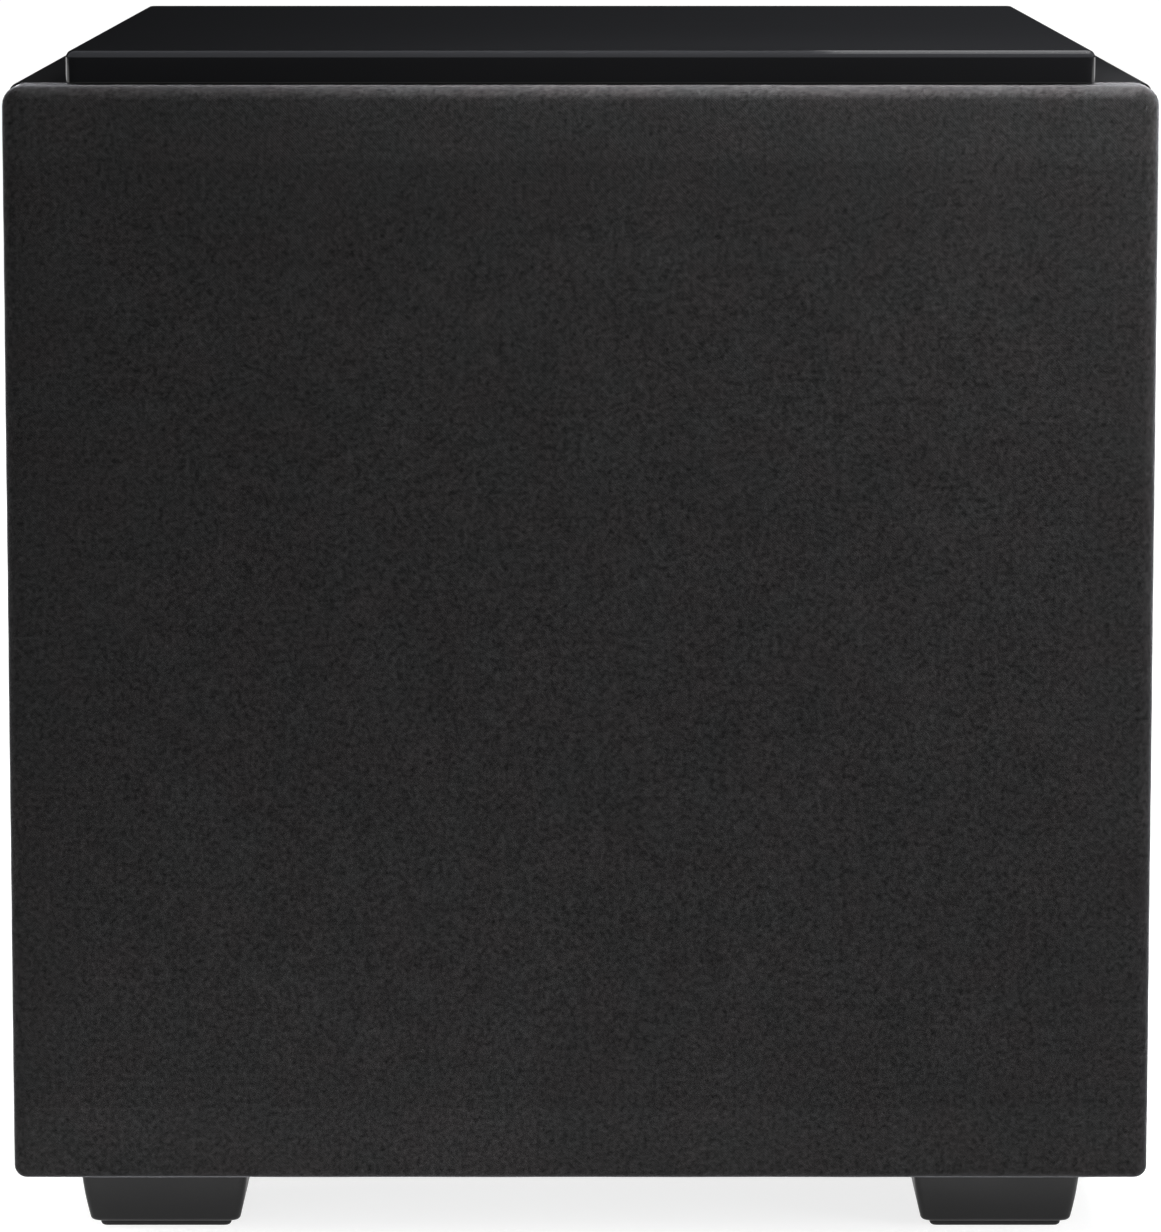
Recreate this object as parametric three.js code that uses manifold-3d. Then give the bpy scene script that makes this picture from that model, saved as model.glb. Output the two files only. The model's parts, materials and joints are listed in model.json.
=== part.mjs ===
// A twelve-inch powered subwoofer: a cube of black-wrapped fibreboard on four feet, with a raised gloss
// deck on top, a cloth grille that pulls off the front, a woofer behind it, a passive radiator that fires
// at the floor, and an amplifier plate on the back. Millimetres, +Z up, the front faces -Y, and the origin
// is on the floor under the middle of the whole object.
import * as THREE from 'three';
import { mergeVertices } from 'three/addons/utils/BufferGeometryUtils.js';
import Module from 'manifold-3d';

const wasm = await Module();
wasm.setup();

// ---------------------------------------------------------------- driving dimensions
const WIDTH = 400; // over the grille cloth
const BODY_HEIGHT = 385; // cabinet and grille, without feet and deck
const FOOT_HEIGHT = 24;
const GRILLE_DEPTH = 26;
const CABINET_DEPTH = 402; // front of the baffle to the back
const REAR_PROUD = 16; // how far the knobs stand out behind the cabinet
const GAP = 0.3; // between pieces that touch

const FRONT_Y = -(GRILLE_DEPTH + CABINET_DEPTH + REAR_PROUD) / 2;
const BAFFLE_Y = FRONT_Y + GRILLE_DEPTH;
const BACK_Y = BAFFLE_Y + CABINET_DEPTH;
const BASE_Z = FOOT_HEIGHT;
const RIM_Z = FOOT_HEIGHT + BODY_HEIGHT;
const MID_Z = (BASE_Z + RIM_Z) / 2;

const WRAP_HALF = WIDTH / 2 - 0.5; // the cabinet is a touch narrower than the cloth
const WRAP_T = 0.7; // vinyl wrap
const SKIN = WRAP_T + GAP; // wrap's outside to the boards
const BOARD_HALF = WRAP_HALF - SKIN;
const EDGE = 5; // rounding of the cabinet's long edges
const BOARD_T = 18;
const BAFFLE_T = 25;
const BOARD_BASE = BASE_Z + SKIN;
const BOARD_TOP = RIM_Z - SKIN;
const BOARD_BACK = BACK_Y - SKIN;
const INNER_FRONT = BAFFLE_Y + BAFFLE_T;
const INNER_BACK = BOARD_BACK - BOARD_T;
const INNER_HALF = BOARD_HALF - BOARD_T;

const DECK = {
  width: 356, setback: 5, rearInset: 4, rise: 12, plinth: 0.5, plinthInset: 30, edge: 2.4, corner: 4,
};
const CLOTH = { thickness: 0.9, edge: 5 };
// The grille frame's upper and lower bars, its sides and its corners.
const FRAME = { bar: 25, side: 12, gusset: 34 };
const FOOT = {
  x: 148.5, frontInset: 26, rearInset: 30, top: 60, bottom: 52.6, pad: 2, padInset: 2.9, corner: 3, well: 7,
};

const ROUND = 24; // facets of the large turned pieces
const SMALL = 10; // facets of the small ones

const WOOFER = { cutout: 142, flange: 152, rebate: 153.3, rebateDepth: 6, roll: 11.5, rollMiddle: 118.5 };
const RADIATOR = {
  y: 8, cutout: 129, flange: 140, rebate: 141.3, rebateDepth: 7, roll: 10.5, rollMiddle: 105.5,
};
const PEG = { x: 176, rise: 179, radius: 4.3, length: 10, cup: 7.7 };
const PLATE = {
  halfWidth: 118, halfHeight: 150, front: BACK_Y + 1.6, thickness: 3, cutHalfX: 103, cutHalfZ: 135,
};
const PLATE_FACE = PLATE.front + PLATE.thickness;
const REAR_Y = BACK_Y + REAR_PROUD;

const KNOB = { radius: 11, shaft: 3.2, hole: 4.5, volumeX: 74, crossoverX: 18, z: MID_Z + 110 };
const SWITCH = { phaseX: -36, autoX: -76, z: MID_Z + 110, nub: 1.8, phaseTravel: 4, autoTravel: 3 };
const JACK = { xs: [82, 50, 18], z: MID_Z + 70, hole: 5.6 };
const LED = { x: -76, z: MID_Z + 72 };
const FINS = { count: 21, pitch: 9.6, thickness: 2.2, base: 2, height: 9, halfLength: 50, z: MID_Z - 5 };
const INLET = { z: MID_Z - 104, halfX: 50, halfZ: 17, socketX: 28.5, drawerX: -3, rockerX: -33 };
const ROCKER_TILT = THREE.MathUtils.degToRad(8);

// ---------------------------------------------------------------- materials
const finish = (color, roughness, metalness = 0) =>
  new THREE.MeshStandardMaterial({ color, roughness, metalness });
const paint = {
  wrap: finish(0x17171a, 0.45),
  board: finish(0x7a5f45, 0.9),
  baffle: finish(0x141416, 0.7),
  deck: finish(0x0b0b0d, 0.08),
  cloth: finish(0x262627, 0.95),
  plastic: finish(0x1a1a1b, 0.6),
  foot: finish(0x2b2b2c, 0.55),
  rubber: finish(0x151515, 0.85),
  cast: finish(0x202124, 0.5, 0.6),
  cone: finish(0x1c1c1e, 0.65),
  steel: finish(0x9a9ca0, 0.35, 0.9),
  ferrite: finish(0x2c2b2a, 0.8),
  copper: finish(0xb0653a, 0.3, 1),
  foil: finish(0xb9bbbf, 0.3, 1),
  spider: finish(0x8a6a2c, 0.9),
  anodised: finish(0x121214, 0.45, 0.7),
  circuit: finish(0x1d4a2c, 0.6),
  gold: finish(0xc9a13c, 0.25, 1),
  lamp: finish(0x5b7fa8, 0.2),
};

// ---------------------------------------------------------------- making and cutting solids
function solidOf(geometry) {
  const bare = geometry.index ? geometry.toNonIndexed() : geometry.clone();
  bare.deleteAttribute('normal');
  bare.deleteAttribute('uv');
  const merged = mergeVertices(bare, 1e-4);
  return new wasm.Manifold(new wasm.Mesh({
    numProp: 3,
    vertProperties: merged.attributes.position.array,
    triVerts: new Uint32Array(merged.index.array),
  }));
}

function geometryOf(solid) {
  const mesh = solid.getMesh();
  const geometry = new THREE.BufferGeometry();
  geometry.setAttribute('position', new THREE.BufferAttribute(new Float32Array(mesh.vertProperties), 3));
  geometry.setIndex(new THREE.BufferAttribute(new Uint32Array(mesh.triVerts), 1));
  return geometry;
}

const cut = (geometry, ...tools) =>
  geometryOf(tools.reduce((left, tool) => left.subtract(solidOf(tool)), solidOf(geometry)));
const join = (geometry, ...pieces) =>
  geometryOf(pieces.reduce((whole, piece) => whole.add(solidOf(piece)), solidOf(geometry)));
const within = (geometry, limit) => geometryOf(solidOf(geometry).intersect(solidOf(limit)));

function box(x0, x1, y0, y1, z0, z1) {
  return new THREE.BoxGeometry(x1 - x0, y1 - y0, z1 - z0)
    .translate((x0 + x1) / 2, (y0 + y1) / 2, (z0 + z1) / 2);
}

function roundedRect(width, height, radius) {
  const [w, h, r] = [width / 2, height / 2, radius];
  const shape = new THREE.Shape();
  shape.moveTo(-w + r, -h).lineTo(w - r, -h);
  shape.absarc(w - r, -h + r, r, -Math.PI / 2, 0);
  shape.absarc(w - r, h - r, r, 0, Math.PI / 2);
  shape.absarc(-w + r, h - r, r, Math.PI / 2, Math.PI);
  shape.absarc(-w + r, -h + r, r, Math.PI, Math.PI * 1.5);
  return shape;
}

// A plate of a shape drawn in X and Z, from y0 back to y1.
function plateXZ(shape, y0, y1, curveSegments = 3) {
  return new THREE.ExtrudeGeometry(shape, { depth: y1 - y0, bevelEnabled: false, curveSegments })
    .rotateX(Math.PI / 2)
    .translate(0, y1, 0);
}

// A ring or disc turned about Y. The profile is [radius, depth] pairs, closed on itself or on the axis.
function turned(profile, facets = ROUND) {
  const onAxis = profile[0][0] === 0;
  const points = profile.map(([radius, depth]) => new THREE.Vector2(radius, depth));
  if (THREE.ShapeUtils.isClockWise(points)) points.reverse();
  if (!onAxis) points.push(points[0].clone());
  return new THREE.LatheGeometry(points, facets);
}

const rod = (radius, y0, y1, facets = SMALL) =>
  turned([[0, y0], [radius, y0], [radius, y1], [0, y1]], facets);

function arc(middle, depth, radius, from, to, steps) {
  return Array.from({ length: steps + 1 }, (_, i) => {
    const angle = from + ((to - from) * i) / steps;
    return [middle + radius * Math.cos(angle), depth - radius * Math.sin(angle)];
  });
}

function piece(name, geometry, material, x = 0, y = 0, z = 0) {
  const mesh = new THREE.Mesh(geometry, material);
  mesh.name = name;
  mesh.position.set(x, y, z);
  return mesh;
}

// ---------------------------------------------------------------- cabinet
// The cabinet's block, or one set in from it by `inset`, with its four long edges rounded.
function cabinetBlock(inset, y0, y1) {
  const outline = roundedRect(2 * (WRAP_HALF - inset), BODY_HEIGHT - 2 * inset, EDGE - inset);
  return plateXZ(outline, y0, y1).translate(0, 0, MID_Z);
}

const woofersHole = () => rod(WOOFER.cutout, -1, BAFFLE_T + 1, ROUND).translate(0, BAFFLE_Y, MID_Z);

function frontBaffle() {
  const board = cabinetBlock(SKIN, BAFFLE_Y, INNER_FRONT);
  const rebate = rod(WOOFER.rebate, -1, WOOFER.rebateDepth, ROUND).translate(0, BAFFLE_Y, MID_Z);
  const cupHoles = pegPlaces().map(([x, z]) => rod(PEG.cup + GAP, -1, 13).translate(x, BAFFLE_Y, z));
  return cut(board, woofersHole(), rebate, ...cupHoles);
}

function pegPlaces() {
  const corners = [[-PEG.x, 1], [PEG.x, 1], [-PEG.x, -1], [PEG.x, -1]];
  return corners.map(([x, side]) => [x, MID_Z + side * PEG.rise]);
}

function bottomBoard() {
  const board = box(-INNER_HALF + GAP, INNER_HALF - GAP, INNER_FRONT + GAP, INNER_BACK - GAP,
    BOARD_BASE, BOARD_BASE + BOARD_T);
  const { cutout, rebate, rebateDepth } = RADIATOR;
  return cut(board, radiatorHole(cutout, BOARD_T + 5), radiatorHole(rebate, rebateDepth));
}

const radiatorHole = (radius, depth) =>
  rod(radius, -5, depth, ROUND).rotateX(Math.PI / 2).translate(0, RADIATOR.y, BASE_Z);

function backBoard() {
  return cut(cabinetBlock(SKIN, INNER_BACK, BOARD_BACK), amplifierHole());
}

const amplifierHole = () => box(-PLATE.cutHalfX, PLATE.cutHalfX, INNER_BACK - 5, BACK_Y + 5,
  MID_Z - PLATE.cutHalfZ, MID_Z + PLATE.cutHalfZ);

function windowBrace() {
  const brace = { front: -100, back: 110, low: 304, high: 320, bar: 42 };
  const half = INNER_HALF - GAP;
  const board = box(-half, half, brace.front, brace.back, brace.low, brace.high);
  const window = box(-half + brace.bar, half - brace.bar, brace.front + brace.bar, brace.back - brace.bar,
    brace.low - 1, brace.high + 1);
  return cut(board, window);
}

function cabinetWrap() {
  const outside = cabinetBlock(0, BAFFLE_Y, BACK_Y);
  const inside = cabinetBlock(WRAP_T, BAFFLE_Y - 1, BACK_Y - WRAP_T);
  return cut(outside, inside, amplifierHole(), radiatorHole(RADIATOR.rebate, BOARD_T));
}

function topDeck() {
  const length = BACK_Y - DECK.rearInset - (FRONT_Y + DECK.setback);
  const middle = (BACK_Y - DECK.rearInset + FRONT_Y + DECK.setback) / 2;
  const { edge, corner, plinth, plinthInset, rise, width } = DECK;
  const outline = roundedRect(width - 2 * edge, length - 2 * edge, corner - edge);
  const slab = new THREE.ExtrudeGeometry(outline, {
    depth: rise - plinth - 2 * edge, bevelThickness: edge, bevelSize: edge, bevelSegments: 2,
    curveSegments: 2,
  }).translate(0, middle, RIM_Z + plinth + edge);
  const base = box(-width / 2 + plinthInset, width / 2 - plinthInset, BAFFLE_Y + plinthInset,
    BACK_Y - DECK.rearInset - plinthInset, RIM_Z + GAP, RIM_Z + plinth + edge);
  return join(slab, base);
}

function cabinet() {
  const group = new THREE.Group();
  const side = (x0, x1) => within(
    box(x0, x1, INNER_FRONT + GAP, INNER_BACK - GAP, BOARD_BASE, BOARD_TOP),
    cabinetBlock(SKIN, BAFFLE_Y, BACK_Y),
  );
  const top = box(-INNER_HALF + GAP, INNER_HALF - GAP, INNER_FRONT + GAP, INNER_BACK - GAP,
    BOARD_TOP - BOARD_T, BOARD_TOP);
  group.add(
    piece('front_baffle', frontBaffle(), paint.baffle),
    piece('side_board_left', side(-BOARD_HALF, -INNER_HALF), paint.board),
    piece('side_board_right', side(INNER_HALF, BOARD_HALF), paint.board),
    piece('top_board', top, paint.board),
    piece('bottom_board', bottomBoard(), paint.board),
    piece('back_board', backBoard(), paint.board),
    piece('window_brace', windowBrace(), paint.board),
    piece('cabinet_wrap', cabinetWrap(), paint.wrap),
    piece('top_deck', topDeck(), paint.deck),
  );
  return group;
}

// ---------------------------------------------------------------- feet
function footBlock() {
  const height = FOOT_HEIGHT - GAP - FOOT.pad - GAP;
  const block = new THREE.ExtrudeGeometry(roundedRect(FOOT.top, FOOT.top, FOOT.corner), {
    depth: height, bevelEnabled: false, curveSegments: 2,
  });
  const place = block.attributes.position;
  for (let i = 0; i < place.count; i += 1) {
    const scale = THREE.MathUtils.lerp(FOOT.bottom / FOOT.top, 1, place.getZ(i) / height);
    place.setXY(i, place.getX(i) * scale, place.getY(i) * scale);
  }
  const well = rod(FOOT.well, -1, 12).rotateX(Math.PI / 2);
  const screwHole = rod(2.8, -1, height + 1, 8).rotateX(Math.PI / 2);
  return cut(block, well, screwHole).translate(0, 0, FOOT.pad + GAP);
}

function footPad() {
  const size = FOOT.bottom - 2 * FOOT.padInset;
  const pad = new THREE.ExtrudeGeometry(roundedRect(size, size, FOOT.corner), {
    depth: FOOT.pad, bevelEnabled: false, curveSegments: 2,
  });
  return cut(pad, rod(FOOT.well, -1, FOOT.pad + 1).rotateX(Math.PI / 2));
}

function feet() {
  const group = new THREE.Group();
  const frontY = FRONT_Y + FOOT.frontInset + FOOT.top / 2;
  const rearY = BACK_Y - FOOT.rearInset - FOOT.top / 2;
  for (const [end, y] of [['front', frontY], ['rear', rearY]]) {
    for (const [side, x] of [['left', -FOOT.x], ['right', FOOT.x]]) {
      group.add(piece(`foot_${end}_${side}`, footBlock(), paint.foot, x, y, 0));
      group.add(piece(`foot_pad_${end}_${side}`, footPad(), paint.rubber, x, y, 0));
    }
  }
  return group;
}

// ---------------------------------------------------------------- grille
// A block with rounded front edges and corners and a flat back, halfX wide to each side of the middle.
function pillow(halfX, halfZ, y0, y1, edge) {
  const outline = roundedRect(2 * (halfX - edge), 2 * (halfZ - edge), 0.8);
  const block = new THREE.ExtrudeGeometry(outline, {
    depth: y1 - y0, bevelThickness: edge, bevelSize: edge, bevelSegments: 2, curveSegments: 1,
  }).rotateX(Math.PI / 2).translate(0, y1 + edge, MID_Z);
  return cut(block, box(-WIDTH, WIDTH, y1, y1 + 4 * edge, 0, 2 * RIM_Z));
}

function grilleFrame() {
  const { thickness, edge } = CLOTH;
  const inset = thickness + GAP;
  const back = BAFFLE_Y - 1.2;
  const block = pillow(WIDTH / 2 - inset, BODY_HEIGHT / 2 - inset, FRONT_Y + inset, back, edge);
  const halfX = WIDTH / 2 - inset - FRAME.side;
  const halfZ = BODY_HEIGHT / 2 - inset - FRAME.bar;
  const { gusset } = FRAME;
  const window = new THREE.Shape([
    [-halfX + gusset, -halfZ], [halfX - gusset, -halfZ], [halfX, -halfZ + gusset], [halfX, halfZ - gusset],
    [halfX - gusset, halfZ], [-halfX + gusset, halfZ], [-halfX, halfZ - gusset], [-halfX, -halfZ + gusset],
  ].map(([x, z]) => new THREE.Vector2(x, z)));
  const opening = plateXZ(window, FRONT_Y - 5, back + 5).translate(0, 0, MID_Z);
  const pegProfile = [[0, -6], [PEG.radius + 1.5, -6], [PEG.radius + 1.5, 0.6], [PEG.radius, 0.6],
    [PEG.radius, PEG.length - 1], [PEG.radius - 1.2, PEG.length], [0, PEG.length]];
  const pegs = pegPlaces().map(([x, z]) => turned(pegProfile, SMALL).translate(x, back, z));
  return join(cut(block, opening), ...pegs);
}

function grilleCloth() {
  const { thickness, edge } = CLOTH;
  const back = BAFFLE_Y - 0.8;
  const [halfX, halfZ] = [WIDTH / 2, BODY_HEIGHT / 2];
  const outside = pillow(halfX, halfZ, FRONT_Y, back, edge);
  const inside = pillow(halfX - thickness, halfZ - thickness, FRONT_Y + thickness, back + 5, edge);
  return cut(outside, inside);
}

function pegCup() {
  const { radius, cup, length } = PEG;
  return turned([[0, length + 2], [cup, length + 2], [cup, 0.2], [radius + 0.6, 0.2],
    [radius + 0.6, length + 0.4], [0, length + 0.4]].reverse(), SMALL);
}

function grille() {
  const group = new THREE.Group();
  group.add(
    piece('grille_frame', grilleFrame(), paint.plastic),
    piece('grille_cloth', grilleCloth(), paint.cloth),
  );
  const names = ['upper_left', 'upper_right', 'lower_left', 'lower_right'];
  pegPlaces().forEach(([x, z], i) => {
    group.add(piece(`peg_cup_${names[i]}`, pegCup(), paint.rubber, x, BAFFLE_Y, z));
  });
  return group;
}

// ---------------------------------------------------------------- drivers
// Turned about Y, with depth 0 at the cabinet's face.
// A half roll of rubber between a lip glued to the frame and a lip glued to the cone.
function halfRoll(middle, radius, outerLip, innerLip) {
  const [top, low, skin] = [0.1, 1, 0.55];
  const steps = 4;
  return turned([
    [outerLip, top], [outerLip, low], [middle + radius - skin, low],
    ...arc(middle, top, radius - skin, 0, Math.PI, steps),
    [middle - radius + skin, low], [innerLip, low], [innerLip, top],
    ...arc(middle, top, radius + skin, Math.PI, 0, steps),
  ]);
}

// A corrugated cloth disc that centres the moving parts.
function corrugated(inner, outer, lip, depth) {
  const waves = 4;
  const skin = 0.9;
  const [first, last] = [inner + 4, outer - lip];
  const crest = Array.from({ length: waves + 1 }, (_, i) =>
    [first + ((last - first) * i) / waves, depth + (i % 2 ? 2 : -2)]);
  const upper = [[inner, depth], ...crest, [last + 1.5, depth], [outer, depth]];
  const lower = upper.map(([radius, level]) => [radius, level + skin]).reverse();
  return turned([...upper, ...lower]);
}

function basket() {
  const bowl = turned([
    [129, 1.3], [WOOFER.flange, 1.3], [WOOFER.flange, 5.7], [141, 5.7], [141, 14], [108, 56], [96, 66],
    [86, 72], [84, 100], [38, 100], [38, 95], [79, 95], [80, 72], [80, 62], [90, 62], [103, 54],
    [136, 12], [136, 5.7], [129, 5.7],
  ]);
  const windows = 8;
  const spoke = 9; // half width of a spoke, in degrees
  return cut(bowl, ...sectors(windows, spoke, 60, 170, 18, 52));
}

// Wedges of a ring between two radii and two depths, with gaps of twice `spoke` degrees between them.
function sectors(count, spoke, inner, outer, y0, y1) {
  return Array.from({ length: count }, (_, i) => {
    const from = THREE.MathUtils.degToRad((360 / count) * i + spoke);
    const to = THREE.MathUtils.degToRad((360 / count) * (i + 1) - spoke);
    const shape = new THREE.Shape();
    shape.absarc(0, 0, outer, from, to, false);
    shape.absarc(0, 0, inner, to, from, true);
    return plateXZ(shape, y0, y1, 2);
  });
}

function cone() {
  return turned([
    [107, 1.5], [107, 2.9], [101, 3.2], [64, 24.5], [28.8, 44], [28.8, 50], [27, 50], [27, 42],
    [63, 22.3], [100, 1.5],
  ]);
}

function dome(radius, rim, apex, skin, facets = ROUND) {
  const shares = [0, 0.4, 0.75, 1];
  const level = (share) => apex + (rim - apex) * share * share;
  const front = shares.map((share) => [radius * share, level(share)]);
  const back = shares.map((share) => [radius * share * 0.96, level(share) + skin]).reverse();
  return turned([...front, ...back], facets);
}

function terminalBlock() {
  const block = box(86.1, 98, 76, 92, -12, 12);
  const tabs = [-6, 6].map((z) => box(97, 104, 80, 80.8, z - 3, z + 3));
  return join(block, ...tabs);
}

function woofer() {
  const group = new THREE.Group();
  group.position.set(0, BAFFLE_Y, MID_Z);
  const ring = (inner, outer, y0, y1) => turned([[inner, y0], [outer, y0], [outer, y1], [inner, y1]]);
  const yoke = turned([[9, 98], [24.5, 98], [24.5, 141.2], [74, 141.2], [74, 151.2], [9, 151.2]]);
  group.add(
    piece('woofer_basket', basket(), paint.cast),
    piece('woofer_gasket', ring(139.4, 151.5, -1.2, 1), paint.rubber),
    piece('woofer_surround', halfRoll(WOOFER.rollMiddle, WOOFER.roll, 139, 100.5), paint.rubber),
    piece('woofer_cone', cone(), paint.cone),
    piece('woofer_dust_cap', dome(50, 28.6, 15, 1.3), paint.cone),
    piece('coil_former', ring(25.4, 26, 43, 122), paint.foil),
    piece('voice_coil', ring(26.3, 28.2, 90, 121), paint.copper),
    piece('woofer_spider', corrugated(26.4, 89, 9, 59.8), paint.spider),
    piece('magnet_top_plate', ring(29.4, 74, 100.4, 110.4), paint.steel),
    piece('ferrite_magnet', ring(38, 78, 110.8, 140.8), paint.ferrite),
    piece('pole_and_back_plate', yoke, paint.steel),
    piece('woofer_terminals', terminalBlock(), paint.plastic),
  );
  return group;
}

function radiatorFrame() {
  const bowl = turned([
    [116, 1.3], [RADIATOR.flange, 1.3], [RADIATOR.flange, 6.6], [127, 6.6], [127, 16], [92, 52], [84, 58],
    [70, 58], [70, 54], [80, 54], [88, 48], [123, 14], [123, 6.6], [116, 6.6],
  ]);
  return cut(bowl, ...sectors(6, 9, 50, 150, 20, 46));
}

function radiatorCone() {
  return turned([
    [95, 1.5], [95, 2.9], [89, 3.4], [60, 14.2], [24.4, 24.7], [24.4, 51], [22.9, 51], [22.9, 23.2],
    [60, 12.4], [88, 1.5],
  ]);
}

function radiator() {
  const group = new THREE.Group();
  group.position.set(0, RADIATOR.y, BASE_Z);
  group.rotation.x = Math.PI / 2;
  group.add(
    piece('radiator_frame', radiatorFrame(), paint.cast),
    piece('radiator_surround', halfRoll(RADIATOR.rollMiddle, RADIATOR.roll, 127, 88.5), paint.rubber),
    piece('radiator_cone', radiatorCone(), paint.cone),
    piece('radiator_cap', dome(40, 17, 9, 1.2), paint.cone),
    piece('radiator_weight', rod(21.5, 26, 38, 24), paint.steel),
    piece('radiator_spider', corrugated(24.8, 79.5, 9, 52.4), paint.spider),
  );
  return group;
}

// ---------------------------------------------------------------- amplifier
function amplifierPlate() {
  const { front, thickness, halfWidth, halfHeight } = PLATE;
  const outline = roundedRect(2 * halfWidth, 2 * halfHeight, 6);
  const plate = plateXZ(outline, front, PLATE_FACE).translate(0, 0, MID_Z);
  const hole = (x, z, radius) => rod(radius, front - 5, PLATE_FACE + 5, 12).translate(x, 0, z);
  const holes = [
    hole(KNOB.volumeX, KNOB.z, KNOB.hole),
    hole(KNOB.crossoverX, KNOB.z, KNOB.hole),
    hole(LED.x, LED.z, 3),
    ...JACK.xs.map((x) => hole(x, JACK.z, JACK.hole)),
  ];
  const slot = (x, low, high) => box(x - SWITCH.nub - 0.5 - low, x + SWITCH.nub + 0.5 + high,
    front - 5, PLATE_FACE + 5, SWITCH.z - 2.4, SWITCH.z + 2.4);
  const slots = [
    slot(SWITCH.phaseX, 0, SWITCH.phaseTravel),
    slot(SWITCH.autoX, SWITCH.autoTravel, SWITCH.autoTravel),
    box(-47.6, 47.6, front - 5, PLATE_FACE + 5, INLET.z - 15.1, INLET.z + 15.1),
  ];
  return cut(plate, ...holes, ...slots);
}

function heatsink() {
  const { count, pitch, thickness, base, height, halfLength, z } = FINS;
  const halfWidth = ((count - 1) * pitch + thickness) / 2;
  const back = PLATE_FACE + GAP;
  const slab = box(-halfWidth, halfWidth, back, back + base, z - halfLength, z + halfLength);
  const fins = Array.from({ length: count }, (_, i) => {
    const x = i * pitch - halfWidth;
    return box(x, x + thickness, back + base / 2, PLATE_FACE + height, z - halfLength, z + halfLength);
  });
  return join(slab, ...fins);
}

function amplifierGasket() {
  const [y0, y1] = [BACK_Y + GAP, PLATE.front - GAP];
  const ring = box(-PLATE.halfWidth + 3, PLATE.halfWidth - 3, y0, y1,
    MID_Z - PLATE.halfHeight + 3, MID_Z + PLATE.halfHeight - 3);
  return cut(ring, amplifierHole());
}

// The circuit board, with the two control bodies and four posts that carry it on the plate.
function circuitBoard() {
  const [y0, y1] = [180, 181.6];
  const [halfX, halfZ] = [95, 128];
  const board = box(-halfX, halfX, y0, y1, MID_Z - halfZ, MID_Z + halfZ);
  const posts = [[-88, 121], [88, 121], [-88, -121], [88, -121]].map(([x, z]) =>
    rod(3, y1 - 0.5, PLATE.front - GAP, 8).translate(x, 0, MID_Z + z));
  const controls = [KNOB.volumeX, KNOB.crossoverX].map((x) =>
    rod(9, y1 - 0.5, 200, SMALL).translate(x, 0, KNOB.z));
  const switches = [SWITCH.phaseX, SWITCH.autoX].map((x) =>
    box(x - 8, x + 12, y1 - 0.5, 199, SWITCH.z - 5, SWITCH.z + 5));
  return join(board, ...posts, ...controls, ...switches);
}

function transformer() {
  const core = box(20, 66, 152, 179.6, MID_Z - 76, MID_Z - 38);
  const winding = box(26, 60, 147, 176, MID_Z - 70, MID_Z - 44);
  return join(core, winding);
}

function knob() {
  const flutes = 18;
  const [y0, y1] = [PLATE_FACE + 0.5, REAR_Y];
  const body = turned([
    [0, y0], [KNOB.radius, y0], [KNOB.radius - 0.6, y1 - 1], [KNOB.radius - 1.6, y1], [0, y1],
  ], flutes);
  const shaft = rod(KNOB.shaft, 200.5, y0 + 1, 10);
  const pointer = box(-0.6, 0.6, y1 - 1, y1 + 1, 5, KNOB.radius);
  return cut(join(body, shaft), pointer);
}

const nub = () => box(-SWITCH.nub, SWITCH.nub, 199.5, PLATE_FACE + 3.2, -1.9, 1.9);

// A phono jack: a nut and a barrel outside the plate, with a hole for the plug's pin, and a body inside.
function jack() {
  const face = PLATE_FACE;
  return turned([
    [0, 186], [5, 186], [5, face + GAP], [7, face + GAP], [7, face + 2.6], [4.3, face + 2.6],
    [4.3, face + 9.5], [1.8, face + 9.5], [1.8, face + 1], [0, face + 1],
  ], 12);
}

function mainsInlet() {
  const { halfX, halfZ, socketX, drawerX, rockerX } = INLET;
  const face = PLATE_FACE;
  const flange = box(-halfX, halfX, face + GAP, face + 3.3, -halfZ, halfZ);
  const body = box(-47.2, 47.2, 184, face + 1, -14.7, 14.7);
  const socket = box(socketX - 12.4, socketX + 12.4, 197, face + 9, -8.4, 8.4);
  const drawerSlot = box(drawerX - 4.4, drawerX + 4.4, 189, face + 9, -11.4, 11.4);
  const rockerPocket = box(rockerX - 8.1, rockerX + 8.1, 198, face + 9, -12.4, 12.4);
  const blade = (x, z, wide, high) =>
    box(x - wide / 2, x + wide / 2, 196, face - 2.4, z - high / 2, z + high / 2);
  const blades = [blade(socketX, 3.4, 2, 4), blade(socketX - 7, -2, 2, 4), blade(socketX + 7, -2, 2, 4)];
  return join(cut(join(flange, body), socket, drawerSlot, rockerPocket), ...blades);
}

function fuseDrawer() {
  const face = PLATE_FACE;
  const head = box(-3.9, 3.9, face + 1.5, face + 4.6, -10.8, 10.8);
  const tray = box(-3.3, 3.3, 191, face + 2, -10, 10);
  const fuseBay = box(-1.9, 4, 194, face - 2, -8, 8);
  return cut(join(head, tray), fuseBay);
}

// The rocker's side view in Z and Y, about its pivot, with a dished face.
function rocker() {
  const side = [[-10.6, 4.4], [-5, 3], [0, 2.6], [5, 3], [10.6, 4.4], [10.6, -2], [4, -5.5], [-4, -5.5],
    [-10.6, -2]];
  const outline = new THREE.Shape(side.reverse().map(([z, y]) => new THREE.Vector2(y, z)));
  return new THREE.ExtrudeGeometry(outline, { depth: 15, bevelEnabled: false })
    .rotateY(Math.PI / 2).rotateX(Math.PI / 2).translate(-7.5, 0, 0).rotateX(ROCKER_TILT);
}

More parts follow.
